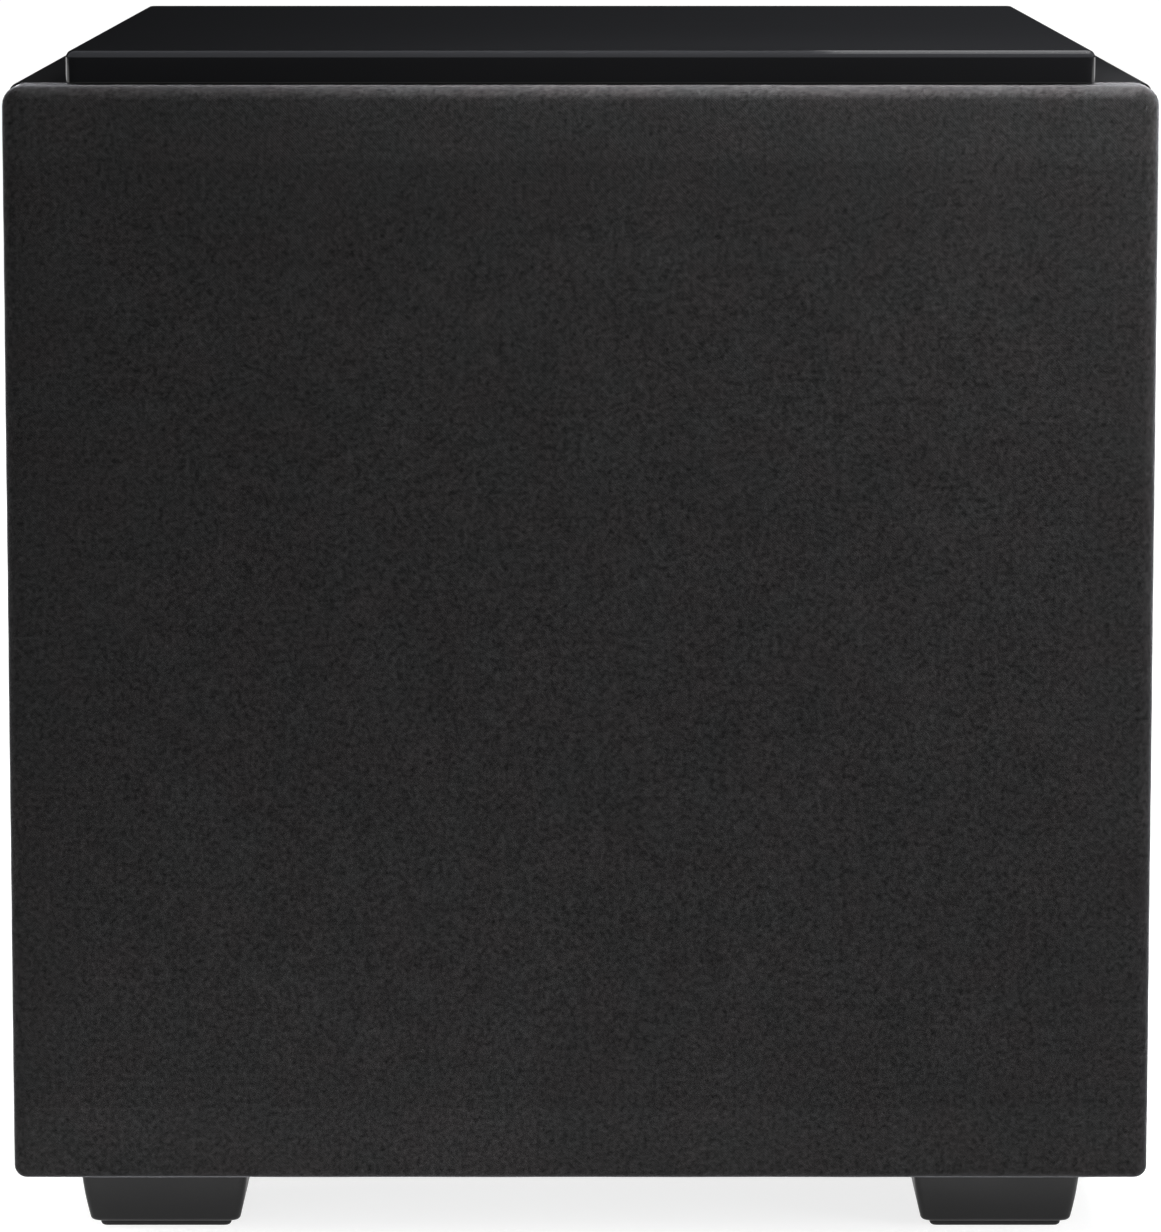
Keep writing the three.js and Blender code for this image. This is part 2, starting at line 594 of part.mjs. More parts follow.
function harness() {
  const route = new THREE.CatmullRomCurve3([
    [107, -112, 0], [128, -100, -8], [150, -50, -22], [155, 20, -30], [146, 90, -24], [112, 136, 4],
    [90, 158, 30], [88, 178, 34],
  ].map(([x, y, z]) => new THREE.Vector3(x, y, MID_Z + z)));
  const section = new THREE.Shape();
  section.absarc(0, 0, 2.4, 0, 2 * Math.PI);
  return new THREE.ExtrudeGeometry(section, { steps: 20, extrudePath: route, curveSegments: 3 });
}

function amplifier() {
  const group = new THREE.Group();
  const capacitor = () => rod(14, 136, 179.6, 20);
  const lamp = turned([
    [0, 200], [2.6, 200], [2.6, PLATE_FACE + 0.6], [1.6, PLATE_FACE + 1.6], [0, PLATE_FACE + 2],
  ], 12);
  group.add(
    piece('amplifier_gasket', amplifierGasket(), paint.rubber),
    piece('amplifier_plate', amplifierPlate(), paint.anodised),
    piece('heatsink', heatsink(), paint.anodised),
    piece('circuit_board', circuitBoard(), paint.circuit),
    piece('power_transformer', transformer(), paint.copper),
    piece('reservoir_capacitor_upper', capacitor(), paint.plastic, -40, 0, MID_Z + 26),
    piece('reservoir_capacitor_lower', capacitor(), paint.plastic, -40, 0, MID_Z - 12),
    piece('volume_knob', knob(), paint.plastic, KNOB.volumeX, 0, KNOB.z),
    piece('crossover_knob', knob(), paint.plastic, KNOB.crossoverX, 0, KNOB.z),
    piece('phase_switch', nub(), paint.plastic, SWITCH.phaseX, 0, SWITCH.z),
    piece('power_mode_switch', nub(), paint.plastic, SWITCH.autoX, 0, SWITCH.z),
    piece('status_lamp', lamp, paint.lamp, LED.x, 0, LED.z),
    piece('mains_inlet', mainsInlet(), paint.plastic, 0, 0, INLET.z),
    piece('fuse_drawer', fuseDrawer(), paint.plastic, INLET.drawerX, 0, INLET.z),
    piece('power_rocker', rocker(), paint.plastic, INLET.rockerX, PLATE_FACE - 1, INLET.z),
    piece('woofer_harness', harness(), paint.rubber),
  );
  const jackNames = ['low_frequency', 'left', 'right'];
  JACK.xs.forEach((x, i) => {
    group.add(piece(`phono_jack_${jackNames[i]}`, jack(), paint.gold, x, 0, JACK.z));
  });
  return group;
}

// ---------------------------------------------------------------- the whole object
const subwoofer = new THREE.Group();
subwoofer.add(cabinet(), feet(), grille(), woofer(), radiator(), amplifier());

export default subwoofer;
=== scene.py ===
"""The looks of a twelve-inch powered subwoofer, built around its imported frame.

Everything is in metres in the frame's own axes: +Z up, the grille faces -Y, the floor is at z = 0. Places
come from the frame's boxes. Turned profiles are lists of (radius, depth) in millimetres, with depth measured
from the cabinet's face inwards.
"""

import json
import math
import random

import bmesh
import bpy
from mathutils import Matrix, Vector
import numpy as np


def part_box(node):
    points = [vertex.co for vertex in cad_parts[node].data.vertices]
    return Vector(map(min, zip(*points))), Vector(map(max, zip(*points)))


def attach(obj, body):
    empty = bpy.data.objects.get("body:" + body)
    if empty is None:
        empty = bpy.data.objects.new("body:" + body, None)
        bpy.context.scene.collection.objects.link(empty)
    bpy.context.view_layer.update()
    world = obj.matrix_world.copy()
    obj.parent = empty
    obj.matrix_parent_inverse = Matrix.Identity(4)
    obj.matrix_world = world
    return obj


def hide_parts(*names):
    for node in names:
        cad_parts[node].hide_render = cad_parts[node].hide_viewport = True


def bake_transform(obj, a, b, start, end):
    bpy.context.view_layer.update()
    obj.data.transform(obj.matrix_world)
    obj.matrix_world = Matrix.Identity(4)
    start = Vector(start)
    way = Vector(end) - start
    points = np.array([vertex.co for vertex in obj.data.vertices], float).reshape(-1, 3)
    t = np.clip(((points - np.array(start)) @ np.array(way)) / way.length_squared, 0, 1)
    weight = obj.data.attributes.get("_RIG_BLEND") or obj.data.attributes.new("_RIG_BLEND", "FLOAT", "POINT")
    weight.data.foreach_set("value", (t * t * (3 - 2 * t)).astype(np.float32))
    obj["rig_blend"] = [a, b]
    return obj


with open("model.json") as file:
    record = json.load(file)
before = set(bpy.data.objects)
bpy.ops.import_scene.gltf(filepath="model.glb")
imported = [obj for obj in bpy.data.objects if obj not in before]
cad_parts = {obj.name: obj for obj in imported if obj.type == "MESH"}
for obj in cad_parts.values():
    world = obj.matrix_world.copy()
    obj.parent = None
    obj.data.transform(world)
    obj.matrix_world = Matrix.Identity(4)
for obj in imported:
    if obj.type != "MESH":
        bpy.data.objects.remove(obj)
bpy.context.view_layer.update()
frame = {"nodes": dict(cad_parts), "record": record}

MM = 0.001
ROUND = 128  # facets of the large turned pieces
SMALL = 40  # facets of the small ones
FLANGE_SCREWS = 8  # round each driver
rng = random.Random(12)

# ---------------------------------------------------------------- places, from the frame
CLOTH_LOW, CLOTH_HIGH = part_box("grille_cloth")
WRAP_LOW, WRAP_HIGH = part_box("cabinet_wrap")
BAFFLE_LOW, BAFFLE_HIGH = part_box("front_baffle")
DECK_LOW, DECK_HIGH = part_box("top_deck")
PLATE_LOW, PLATE_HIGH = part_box("amplifier_plate")
FACE_Y = PLATE_HIGH.y  # the amplifier plate's outer face
EDGE = 5 * MM  # rounding of the cabinet's long edges and of the cloth over the frame
CUPS = [f"peg_cup_{corner}" for corner in ("upper_left", "upper_right", "lower_left", "lower_right")]
FACING_DOWN = Matrix.Rotation(math.pi / 2, 4, "X")  # turns a piece drawn about +Y: its depth runs upwards


def middle(node):
    low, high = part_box(node)
    return (low + high) / 2


def behind(node, y):
    """Puts a piece turned about +Y on the node's own axis, with its depth 0 at y."""
    at = middle(node)
    return Matrix.Translation((at.x, y, at.z))


# A turned piece is drawn about +Y at the origin: radius outwards, depth along +Y. These put it in its place.
WOOFER_PLACE = behind("woofer_basket", WRAP_LOW.y)
RADIATOR_AT = middle("radiator_frame")
RADIATOR_PLACE = Matrix.Translation((RADIATOR_AT.x, RADIATOR_AT.y, WRAP_LOW.z)) @ FACING_DOWN


# ---------------------------------------------------------------- materials
class Surface:
    """A material being wired up: each call adds one node and returns its output."""

    def __init__(self, name, roughness=0.5, metallic=0.0, **constants):
        self.material = bpy.data.materials.new(name)
        self.material.use_nodes = True
        self.nodes = self.material.node_tree.nodes
        self.links = self.material.node_tree.links
        self.shader = self.nodes["Principled BSDF"]
        self.set(Roughness=roughness, Metallic=metallic)
        for socket, value in constants.items():
            self.shader.inputs[socket.replace("_", " ")].default_value = value
        self.place = self.nodes.new("ShaderNodeTexCoord").outputs["Object"]

    def set(self, **values):
        for socket, value in values.items():
            self.wire(value, self.shader.inputs[socket.replace("_", " ")])

    def wire(self, value, socket):
        if isinstance(value, bpy.types.NodeSocket):
            self.links.new(value, socket)
        elif isinstance(value, tuple) and len(value) == 3 and len(socket.default_value) == 4:
            socket.default_value = (*value, 1.0)
        else:
            socket.default_value = value

    def add(self, kind, out=0, settings=None, **inputs):
        node = self.nodes.new(kind)
        for key, value in (settings or {}).items():
            setattr(node, key, value)
        for key, value in inputs.items():
            index = int(key[1:]) if key[0] == "i" and key[1:].isdigit() else key.replace("_", " ")
            self.wire(value, node.inputs[index])
        return node.outputs[out]

    def math(self, operation, a, b=0.0):
        return self.add("ShaderNodeMath", settings={"operation": operation}, i0=a, i1=b)

    def stretched(self, x=1.0, y=1.0, z=1.0, vector=None):
        return self.add("ShaderNodeMapping", Vector=vector or self.place, Scale=(x, y, z))

    def noise(self, scale, detail=2.0, roughness=0.5, vector=None):
        return self.add("ShaderNodeTexNoise", Vector=vector or self.place, Scale=scale, Detail=detail,
                        Roughness=roughness)

    def cells(self, scale, vector=None):
        return self.add("ShaderNodeTexVoronoi", Vector=vector or self.place, Scale=scale)

    def between(self, factor, low, high, start=0.0, end=1.0):
        """Maps a factor from start..end to low..high, held at both ends."""
        return self.add("ShaderNodeMapRange", i0=factor, i1=start, i2=end, i3=low, i4=high)

    def blend(self, factor, a, b):
        node = self.nodes.new("ShaderNodeMix")
        node.data_type = "RGBA"
        for value, socket in ((factor, node.inputs[0]), (a, node.inputs[6]), (b, node.inputs[7])):
            self.wire(value, socket)
        return node.outputs[2]

    def bump(self, height, distance, strength=1.0, normal=None):
        node = self.nodes.new("ShaderNodeBump")
        node.inputs["Strength"].default_value = strength
        node.inputs["Distance"].default_value = distance
        self.links.new(height, node.inputs["Height"])
        if normal:
            self.links.new(normal, node.inputs["Normal"])
        self.links.new(node.outputs[0], self.shader.inputs["Normal"])
        return node.outputs[0]


def scaled(color, factor):
    return tuple(min(1.0, channel * factor) for channel in color)


def grille_cloth_material():
    """A fine, slightly fuzzy knit: two crossing yarns, uneven in thickness and shade, with painted light
    where the frame's bars show through.
    """
    s = Surface("grille_cloth_knit", roughness=0.95, Specular_IOR_Level=0.05, Sheen_Weight=0.24,
                Sheen_Roughness=0.3, Sheen_Tint=(0.92, 0.93, 1.0, 1.0))
    parts = s.nodes.new("ShaderNodeSeparateXYZ")
    s.links.new(s.place, parts.inputs[0])
    x, y, z = parts.outputs
    pitch = 2 * math.pi / (0.95 * MM)
    wobble = s.math("MULTIPLY", s.noise(260), 5.0)
    warp = s.math("SINE", s.math("ADD", s.math("MULTIPLY", s.math("ADD", x, y), pitch), wobble))
    weft = s.math("SINE", s.math("ADD", s.math("MULTIPLY", s.math("ADD", z, y), pitch), wobble))
    weave = s.math("MULTIPLY", warp, weft)
    fuzz = s.noise(640, detail=2.0, roughness=0.55)
    slub = s.noise(450, detail=2.0)
    cloud = s.noise(38, detail=3.0)
    shade = s.math("ADD", s.between(fuzz, 0.6, 1.4, 0.3, 0.7), s.between(slub, -0.24, 0.24, 0.3, 0.7))
    shade = s.math("ADD", shade, s.math("MULTIPLY", weave, 0.10))
    shade = s.math("MULTIPLY", shade, s.between(cloud, 0.93, 1.07, 0.3, 0.7))
    # Painted light and shade: the cloth's colour is made a little darker over the window, where only dark air
    # is behind it, than over the frame's bars, which show lit through the knit.
    middle_z = (CLOTH_LOW.z + CLOTH_HIGH.z) / 2
    over_window = s.math("ABSOLUTE", s.math("SUBTRACT", z, middle_z))
    bar_edge = (CLOTH_HIGH.z - CLOTH_LOW.z) / 2 - 26 * MM
    painted_bar_light = s.between(over_window, 1.0, 1.13, bar_edge - 0.4 * MM, bar_edge + 0.6 * MM)
    shade = s.math("MULTIPLY", shade, painted_bar_light)
    tone = s.blend(s.between(s.noise(55, detail=2.0), 0.0, 1.0, 0.35, 0.65), (0.0078, 0.0078, 0.0079),
                   (0.0082, 0.0077, 0.0078))
    color = s.add("ShaderNodeVectorMath", settings={"operation": "SCALE"}, i0=tone, i3=shade)
    s.set(Base_Color=color)
    relief = s.math("ADD", s.math("MULTIPLY", weave, 0.35), s.math("MULTIPLY", fuzz, 1.3))
    s.bump(relief, 0.14 * MM, 0.6)
    return s.material


def vinyl_material():
    """Satin black vinyl with a fine pressed grain and faint scuffs."""
    s = Surface("black_vinyl_wrap", Specular_IOR_Level=0.12)
    grain = s.noise(900, detail=4.0, vector=s.stretched(1.0, 0.6, 0.6))
    pores = s.cells(700)
    scuff = s.noise(9, detail=2.0, roughness=0.4)
    s.set(Base_Color=s.blend(s.between(grain, 0, 1, 0.35, 0.7), (0.0018, 0.0018, 0.0019),
                             (0.0034, 0.0034, 0.0036)),
          Roughness=s.between(scuff, 0.28, 0.34, 0.25, 0.75))
    s.bump(s.math("ADD", grain, s.math("MULTIPLY", pores, 0.6)), 0.03 * MM, 0.3)
    return s.material


def lacquer_material():
    """Black gloss lacquer under a clear coat, with a trace of orange peel and fine wiping marks."""
    s = Surface("black_gloss_lacquer", Specular_IOR_Level=0.42, Coat_Weight=0.35, Coat_Roughness=0.05)
    wiping = s.noise(60, detail=6.0, roughness=0.75, vector=s.stretched(0.15, 1.0, 1.0))
    s.set(Base_Color=s.blend(s.noise(8), (0.0014, 0.0014, 0.0015), (0.002, 0.002, 0.0022)),
          Roughness=s.between(wiping, 0.08, 0.13, 0.4, 0.75))
    s.bump(s.noise(240, detail=1.0), 0.012 * MM, 0.25)
    return s.material


def moulded_material(name, color, roughness, grain=1500, depth=0.03, specular=0.5):
    """Moulded plastic with a fine spark-eroded texture and slightly polished patches."""
    s = Surface(name, Specular_IOR_Level=specular)
    texture = s.noise(grain, detail=3.0, roughness=0.6)
    patches = s.noise(30, detail=2.0, roughness=0.5)
    s.set(Base_Color=s.blend(s.between(texture, 0, 1, 0.3, 0.7), scaled(color, 0.85), scaled(color, 1.15)),
          Roughness=s.between(patches, roughness - 0.07, roughness + 0.07, 0.35, 0.65))
    s.bump(texture, depth * MM, 0.6)
    return s.material


def rubber_material(name, color=(0.012, 0.012, 0.0125), roughness=0.55):
    s = Surface(name, Specular_IOR_Level=0.4)
    bloom = s.noise(45, detail=5.0, roughness=0.7)
    skin = s.noise(1100, detail=2.0)
    s.set(Base_Color=s.blend(s.between(bloom, 0, 1, 0.35, 0.7), color, scaled(color, 1.6)),
          Roughness=s.between(bloom, roughness - 0.08, roughness + 0.1, 0.3, 0.7))
    s.bump(skin, 0.02 * MM, 0.5)
    return s.material


def paper_cone_material():
    """Pressed paper pulp under a black coat: short matted fibres and a soft satin."""
    s = Surface("pressed_paper_cone", roughness=0.62, Specular_IOR_Level=0.4)
    fibres = s.noise(700, detail=6.0, roughness=0.75, vector=s.stretched(1.0, 0.45, 1.0))
    matting = s.cells(480)
    s.set(Base_Color=s.blend(s.between(fibres, 0, 1, 0.35, 0.68), (0.013, 0.013, 0.0135),
                             (0.026, 0.026, 0.027)),
          Roughness=s.between(fibres, 0.5, 0.72, 0.35, 0.7))
    s.bump(s.math("ADD", fibres, s.math("MULTIPLY", matting, 0.5)), 0.12 * MM, 0.7)
    return s.material


def coated_metal_material(name, color, roughness=0.5, metallic=0.0, grain=2200):
    """Powder coat: a fine pebbled skin over cast or pressed metal."""
    s = Surface(name, metallic=metallic)
    pebble = s.cells(grain)
    s.set(Base_Color=s.blend(s.between(s.noise(60, detail=4.0), 0, 1, 0.3, 0.7), scaled(color, 0.85),
                             scaled(color, 1.2)),
          Roughness=s.between(s.noise(220, detail=3.0), roughness - 0.06, roughness + 0.08, 0.3, 0.7))
    s.bump(pebble, 0.03 * MM, 0.5)
    return s.material


def brushed_metal_material(name, color, roughness=0.32, stretch=(1.0, 1.0, 1.0)):
    s = Surface(name, metallic=1.0)
    lines = s.noise(900, detail=4.0, roughness=0.7, vector=s.stretched(*stretch))
    s.set(Base_Color=s.blend(s.between(lines, 0, 1, 0.3, 0.7), scaled(color, 0.82), scaled(color, 1.1)),
          Roughness=s.between(lines, roughness - 0.08, roughness + 0.12, 0.3, 0.7))
    s.bump(lines, 0.02 * MM, 0.35)
    return s.material


def fibreboard_material():
    s = Surface("raw_fibreboard", roughness=0.85)
    fibres = s.noise(420, detail=6.0, roughness=0.8)
    s.set(Base_Color=s.blend(s.between(fibres, 0, 1, 0.3, 0.7), (0.13, 0.083, 0.047), (0.24, 0.165, 0.1)))
    s.bump(fibres, 0.1 * MM, 0.6)
    return s.material


def painted_board_material():
    """Matt black paint rolled on fibreboard."""
    s = Surface("baffle_paint", roughness=0.62, Specular_IOR_Level=0.35)
    roller = s.noise(520, detail=3.0, roughness=0.6)
    s.set(Base_Color=s.blend(s.between(roller, 0, 1, 0.3, 0.7), (0.008, 0.008, 0.0085),
                             (0.013, 0.013, 0.0135)))
    s.bump(roller, 0.08 * MM, 0.6)
    return s.material


def woven_material(name, color):
    """Resin-stiffened cloth, in a plain weave."""
    s = Surface(name, roughness=0.8)
    warp, weft = [s.add("ShaderNodeTexWave", settings={"bands_direction": direction}, Vector=s.place,
                        Scale=240.0, Distortion=0.4) for direction in ("X", "Z")]
    weave = s.math("MULTIPLY", warp, weft)
    s.set(Base_Color=s.blend(weave, scaled(color, 0.6), scaled(color, 1.1)))
    s.bump(weave, 0.1 * MM, 0.8)
    return s.material


def circuit_material():
    """Green solder mask with a faint maze of tracks."""
    s = Surface("circuit_laminate", roughness=0.38)
    tracks = s.between(s.cells(260), 0.0, 1.0, 0.42, 0.5)
    s.set(Base_Color=s.blend(tracks, (0.008, 0.05, 0.018), (0.016, 0.085, 0.032)))
    s.bump(tracks, 0.03 * MM, 0.5)
    return s.material


def floor_material():
    """White studio floor, glowing by itself so that it stays white up to the feet."""
    s = Surface("studio_floor", roughness=0.9, Specular_IOR_Level=0.1, Emission_Strength=0.8)
    s.shader.inputs["Emission Color"].default_value = (1, 1, 1, 1)
    s.set(Base_Color=s.blend(s.noise(3, detail=3.0), (0.34, 0.34, 0.34), (0.36, 0.36, 0.36)))
    return s.material


PAINT = {
    "grille_fabric": grille_cloth_material(),
    "vinyl_wrap": vinyl_material(),
    "gloss_lacquer": lacquer_material(),
    "fibreboard": fibreboard_material(),
    "painted_baffle": painted_board_material(),
    "grille_plastic": moulded_material("grille_frame_plastic", (0.014, 0.014, 0.0145), 0.55),
    "foot_plastic": moulded_material("foot_plastic", (0.0045, 0.0045, 0.0047), 0.42, depth=0.006,
                                     specular=0.25),
    "pad_rubber": rubber_material("pad_rubber", (0.003, 0.003, 0.0031), 0.7),
    "surround_rubber": rubber_material("butyl_rubber", roughness=0.42),
    "cast_basket": coated_metal_material("cast_basket_coat", (0.014, 0.014, 0.015), 0.45),
    "cone_paper": paper_cone_material(),
    "magnet_steel": brushed_metal_material("zinc_plated_steel", (0.52, 0.53, 0.55), 0.36),
    "ferrite": coated_metal_material("ferrite", (0.03, 0.028, 0.027), 0.6),
    "coil_copper": brushed_metal_material("enamelled_copper", (0.62, 0.27, 0.12), 0.25, (0.2, 6.0, 0.2)),
    "coil_foil": brushed_metal_material("coil_foil", (0.72, 0.73, 0.75), 0.25),
    "spider_cloth": woven_material("spider_cloth", (0.33, 0.2, 0.06)),
    "terminal_plastic": moulded_material("terminal_plastic", (0.012, 0.012, 0.012), 0.5),
    "anodised_plate": coated_metal_material("black_anodised_plate", (0.013, 0.013, 0.014), 0.42, grain=3200),
    "circuit_laminate": circuit_material(),
    "transformer_core": brushed_metal_material("transformer_laminations", (0.3, 0.29, 0.28), 0.5,
                                               (1.0, 8.0, 1.0)),
    "capacitor_sleeve": moulded_material("capacitor_sleeve", (0.012, 0.014, 0.03), 0.35),
    "knob_plastic": moulded_material("knob_plastic", (0.014, 0.014, 0.0145), 0.42),
    "lamp_lens": moulded_material("lamp_lens", (0.08, 0.22, 0.5), 0.12, depth=0.005),
    "jack_metal": brushed_metal_material("gold_flashed_jack", (0.85, 0.6, 0.24), 0.24, (1.0, 5.0, 1.0)),
    "wire_sleeve": rubber_material("wire_sleeve"),
}
BLACK_SCREW = coated_metal_material("blackened_screw", (0.02, 0.02, 0.021), 0.32, metallic=0.8)
WHITE_PRINT = moulded_material("white_print", (0.62, 0.62, 0.6), 0.6, depth=0.005)
JACK_RINGS = {
    "low_frequency": moulded_material("violet_insulator", (0.11, 0.035, 0.2), 0.45),
    "left": moulded_material("white_insulator", (0.6, 0.6, 0.58), 0.45),
    "right": moulded_material("red_insulator", (0.45, 0.02, 0.02), 0.45),
}


# ---------------------------------------------------------------- making solids
def linked(name, data):
    """A new scene object."""
    made = bpy.data.objects.new(name, data)
    bpy.context.scene.collection.objects.link(made)
    return made


def shown(name, bm, sharp_degrees=32):
    """Makes a scene object of a bmesh, smooth except along its sharp edges."""
    bmesh.ops.remove_doubles(bm, verts=bm.verts, dist=1e-7)
    bmesh.ops.recalc_face_normals(bm, faces=bm.faces)
    if bm.calc_volume(signed=True) < 0:
        bmesh.ops.reverse_faces(bm, faces=bm.faces)
    mesh = bpy.data.meshes.new(name)
    bm.to_mesh(mesh)
    bm.free()
    return shaded(linked(name, mesh), sharp_degrees)


def shaded(piece, sharp_degrees=32):
    bm = bmesh.new()
    bm.from_mesh(piece.data)
    for face in bm.faces:
        face.smooth = True
    for edge in bm.edges:
        edge.smooth = len(edge.link_faces) == 2 and edge.calc_face_angle(0) < math.radians(sharp_degrees)
    bm.to_mesh(piece.data)
    bm.free()
    return piece


def even_normals(piece):
    """Keeps broad flat faces flat where small rounded edges meet them."""
    normals = piece.modifiers.new("even_normals", "WEIGHTED_NORMAL")
    normals.keep_sharp = True
    return piece


def softened(piece, width, segments=2, degrees=40):
    """Rounds every edge sharper than `degrees`."""
    bevel = piece.modifiers.new("rounded_edges", "BEVEL")
    bevel.width = width
    bevel.segments = segments
    bevel.limit_method = "ANGLE"
    bevel.angle_limit = math.radians(degrees)
    bevel.harden_normals = False
    return even_normals(piece)


def box_bm(low, high, radius=0.0, segments=3):
    bm = bmesh.new()
    bmesh.ops.create_cube(bm, size=1)
    low, high = Vector(low), Vector(high)
    for v in bm.verts:
        v.co = [low[i] + (v.co[i] + 0.5) * (high[i] - low[i]) for i in range(3)]
    if radius:
        bmesh.ops.bevel(bm, geom=bm.edges[:], offset=radius, segments=segments, profile=0.5, affect="EDGES",
                        clamp_overlap=True)
    return bm


def around(x, z, half_x, half_z, y0, y1):
    """The corners of a box centred on x and z. Its half sizes are in millimetres."""
    return (x - half_x * MM, y0, z - half_z * MM), (x + half_x * MM, y1, z + half_z * MM)


def moved(bm, place):
    bmesh.ops.transform(bm, matrix=place, verts=bm.verts)
    return bm


def rounded_box(name, low, high, radius, segments=3):
    return even_normals(shown(name, box_bm(low, high, radius, segments), 50))


def filleted(points, radius, steps=4, closed=True):
    """Rounds the corners of an outline by the radius, or by less where the sides are short."""
    out = []
    count = len(points)
    for i, corner in enumerate(points):
        if not closed and i in (0, count - 1):
            out.append(tuple(corner))
            continue
        p, a, b = Vector(corner), Vector(points[i - 1]), Vector(points[(i + 1) % count])
        to_a, to_b = a - p, b - p
        angle = to_a.angle(to_b, 0.0)
        if angle < 0.05 or angle > math.pi - 0.12:
            out.append(tuple(corner))
            continue
        reach = min(radius / math.tan(angle / 2), 0.45 * to_a.length, 0.45 * to_b.length)
        first, last = p + to_a.normalized() * reach, p + to_b.normalized() * reach
        for k in range(steps + 1):
            t = k / steps
            out.append(tuple((1 - t) ** 2 * first + 2 * t * (1 - t) * p + t * t * last))
    return out


def turned_bm(profile, facets=ROUND, place=None, flutes=None):
    """A solid turned about +Y. The profile closes on itself, or starts and ends on the axis."""
    bm = bmesh.new()
    rings = []
    for radius, depth in profile:
        if radius < 1e-6:
            rings.append([bm.verts.new((0, depth * MM, 0))])
            continue
        ring = []
        for k in range(facets):
            angle = 2 * math.pi * k / facets
            reach = radius * MM * (flutes(angle, radius, depth) if flutes else 1.0)
            ring.append(bm.verts.new((reach * math.cos(angle), depth * MM, reach * math.sin(angle))))
        rings.append(ring)
    on_axis = len(rings[0]) == 1
    pairs = list(zip(rings, rings[1:])) + ([] if on_axis else [(rings[-1], rings[0])])
    for a, b in pairs:
        for k in range(facets):
            n = (k + 1) % facets
            corners = [a[k % len(a)], a[n % len(a)], b[n % len(b)], b[k % len(b)]]
            corners = list(dict.fromkeys(corners))
            if len(corners) > 2:
                bm.faces.new(corners)
    return moved(bm, place) if place else bm


def tube(inner, outer, start, end):
    """The profile of a plain ring, or of a plain rod where `inner` is 0."""
    return [(inner, start), (outer, start), (outer, end), (inner, end)]


def turned(name, profile, facets=ROUND, place=None, sharp=32, **more):
    return shown(name, turned_bm(profile, facets, place, **more), sharp)


def extruded_bm(points, travel):
    """A flat outline of points, given thickness along `travel`."""
    bm = bmesh.new()
    face = bm.faces.new([bm.verts.new(point) for point in points])
    grown = bmesh.ops.extrude_face_region(bm, geom=[face])["geom"]
    bmesh.ops.translate(bm, vec=travel, verts=[v for v in grown if isinstance(v, bmesh.types.BMVert)])
    return bm


def drawn_bm(outline, y0, y1):
    """A plate of an outline in X and Z, from y0 back to y1."""
    return extruded_bm([(x, y0, z) for x, z in outline], (0, y1 - y0, 0))


def rect(x0, x1, z0, z1, radius=0.0, steps=6):
    corners = [(x0, z0), (x1, z0), (x1, z1), (x0, z1)]
    return filleted(corners, radius, steps) if radius else corners


def stacked_bm(rings):
    """A solid of equal rings of points laid one on the next, closed at both ends."""
    bm = bmesh.new()
    rows = [[bm.verts.new(point) for point in ring] for ring in rings]
    for a, b in zip(rows, rows[1:]):
        for i in range(len(a)):
            n = (i + 1) % len(a)
            bm.faces.new((a[i], a[n], b[n], b[i]))
    bm.faces.new(rows[0])
    bm.faces.new(rows[-1])
    return bm


def quarter(radius, steps=5):
    """(inset, travel) pairs that round an edge, from its outer face inwards."""
    turns = [math.pi / 2 * k / steps for k in range(steps + 1)]
    return [(radius * (1 - math.cos(t)), radius * math.sin(t)) for t in turns]


def slab(low, high, corner, under, over, axis=2):
    """A block with corners rounded in plan, looking along `axis`, and its two ends' edges rounded."""
    first, second = (0, 1) if axis == 2 else (0, 2)
    levels = [(inset, low[axis] + under - travel) for inset, travel in reversed(quarter(under))]
    levels += [(inset, high[axis] - over + travel) for inset, travel in quarter(over)]
    rings = []
    for inset, level in levels:
        outline = rect(low[first] + inset, high[first] - inset, low[second] + inset, high[second] - inset,
                       max(corner - inset, 0.2 * MM), 8)
        rings.append([(a, b, level) if axis == 2 else (a, level, b) for a, b in outline])
    return stacked_bm(rings)


def merged(solids):
    """One bmesh of several, which are used up."""
    whole = bmesh.new()
    for solid in solids:
        bmesh.ops.recalc_face_normals(solid, faces=solid.faces)
        one = bpy.data.meshes.new("one")
        solid.to_mesh(one)
        solid.free()
        whole.from_mesh(one)
        bpy.data.meshes.remove(one)
    return whole


def combined(piece, operation, tool):
    """Applies a boolean with the tool object, which is used up."""
    step = piece.modifiers.new("combined", "BOOLEAN")
    step.operation, step.solver, step.object = operation, "EXACT", tool
    graph = bpy.context.evaluated_depsgraph_get()
    piece.data = bpy.data.meshes.new_from_object(piece.evaluated_get(graph))
    piece.modifiers.clear()
    bpy.data.objects.remove(tool)


def carved(piece, *cutters):
    """Cuts the cutters, bmeshes that don't touch each other, out of a piece."""
    whole = merged(cutters)
    mesh = bpy.data.meshes.new("cutter")
    whole.to_mesh(mesh)
    whole.free()
    combined(piece, "DIFFERENCE", linked("cutter", mesh))
    return shaded(piece)


def together(name, solids, sharp=32):
    """One piece of several separate solids, given as bmeshes."""
    return shown(name, merged(solids), sharp)


def copies(solid, places):
    """Copies of a bmesh at each place."""
    base = bpy.data.meshes.new("base")
    solid.to_mesh(base)
    solid.free()
    made = []
    for place in places:
        copy = bmesh.new()
        copy.from_mesh(base)
        made.append(moved(copy, place))
    return made


def rides(piece, body, slot, *nodes, paint=None):
    """Gives a piece its material and its body, and hides the CAD nodes that it stands for."""
    piece.data.materials.clear()
    piece.data.materials.append(paint or PAINT[slot])
    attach(piece, body)
    if nodes:
        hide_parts(*nodes)
    return piece


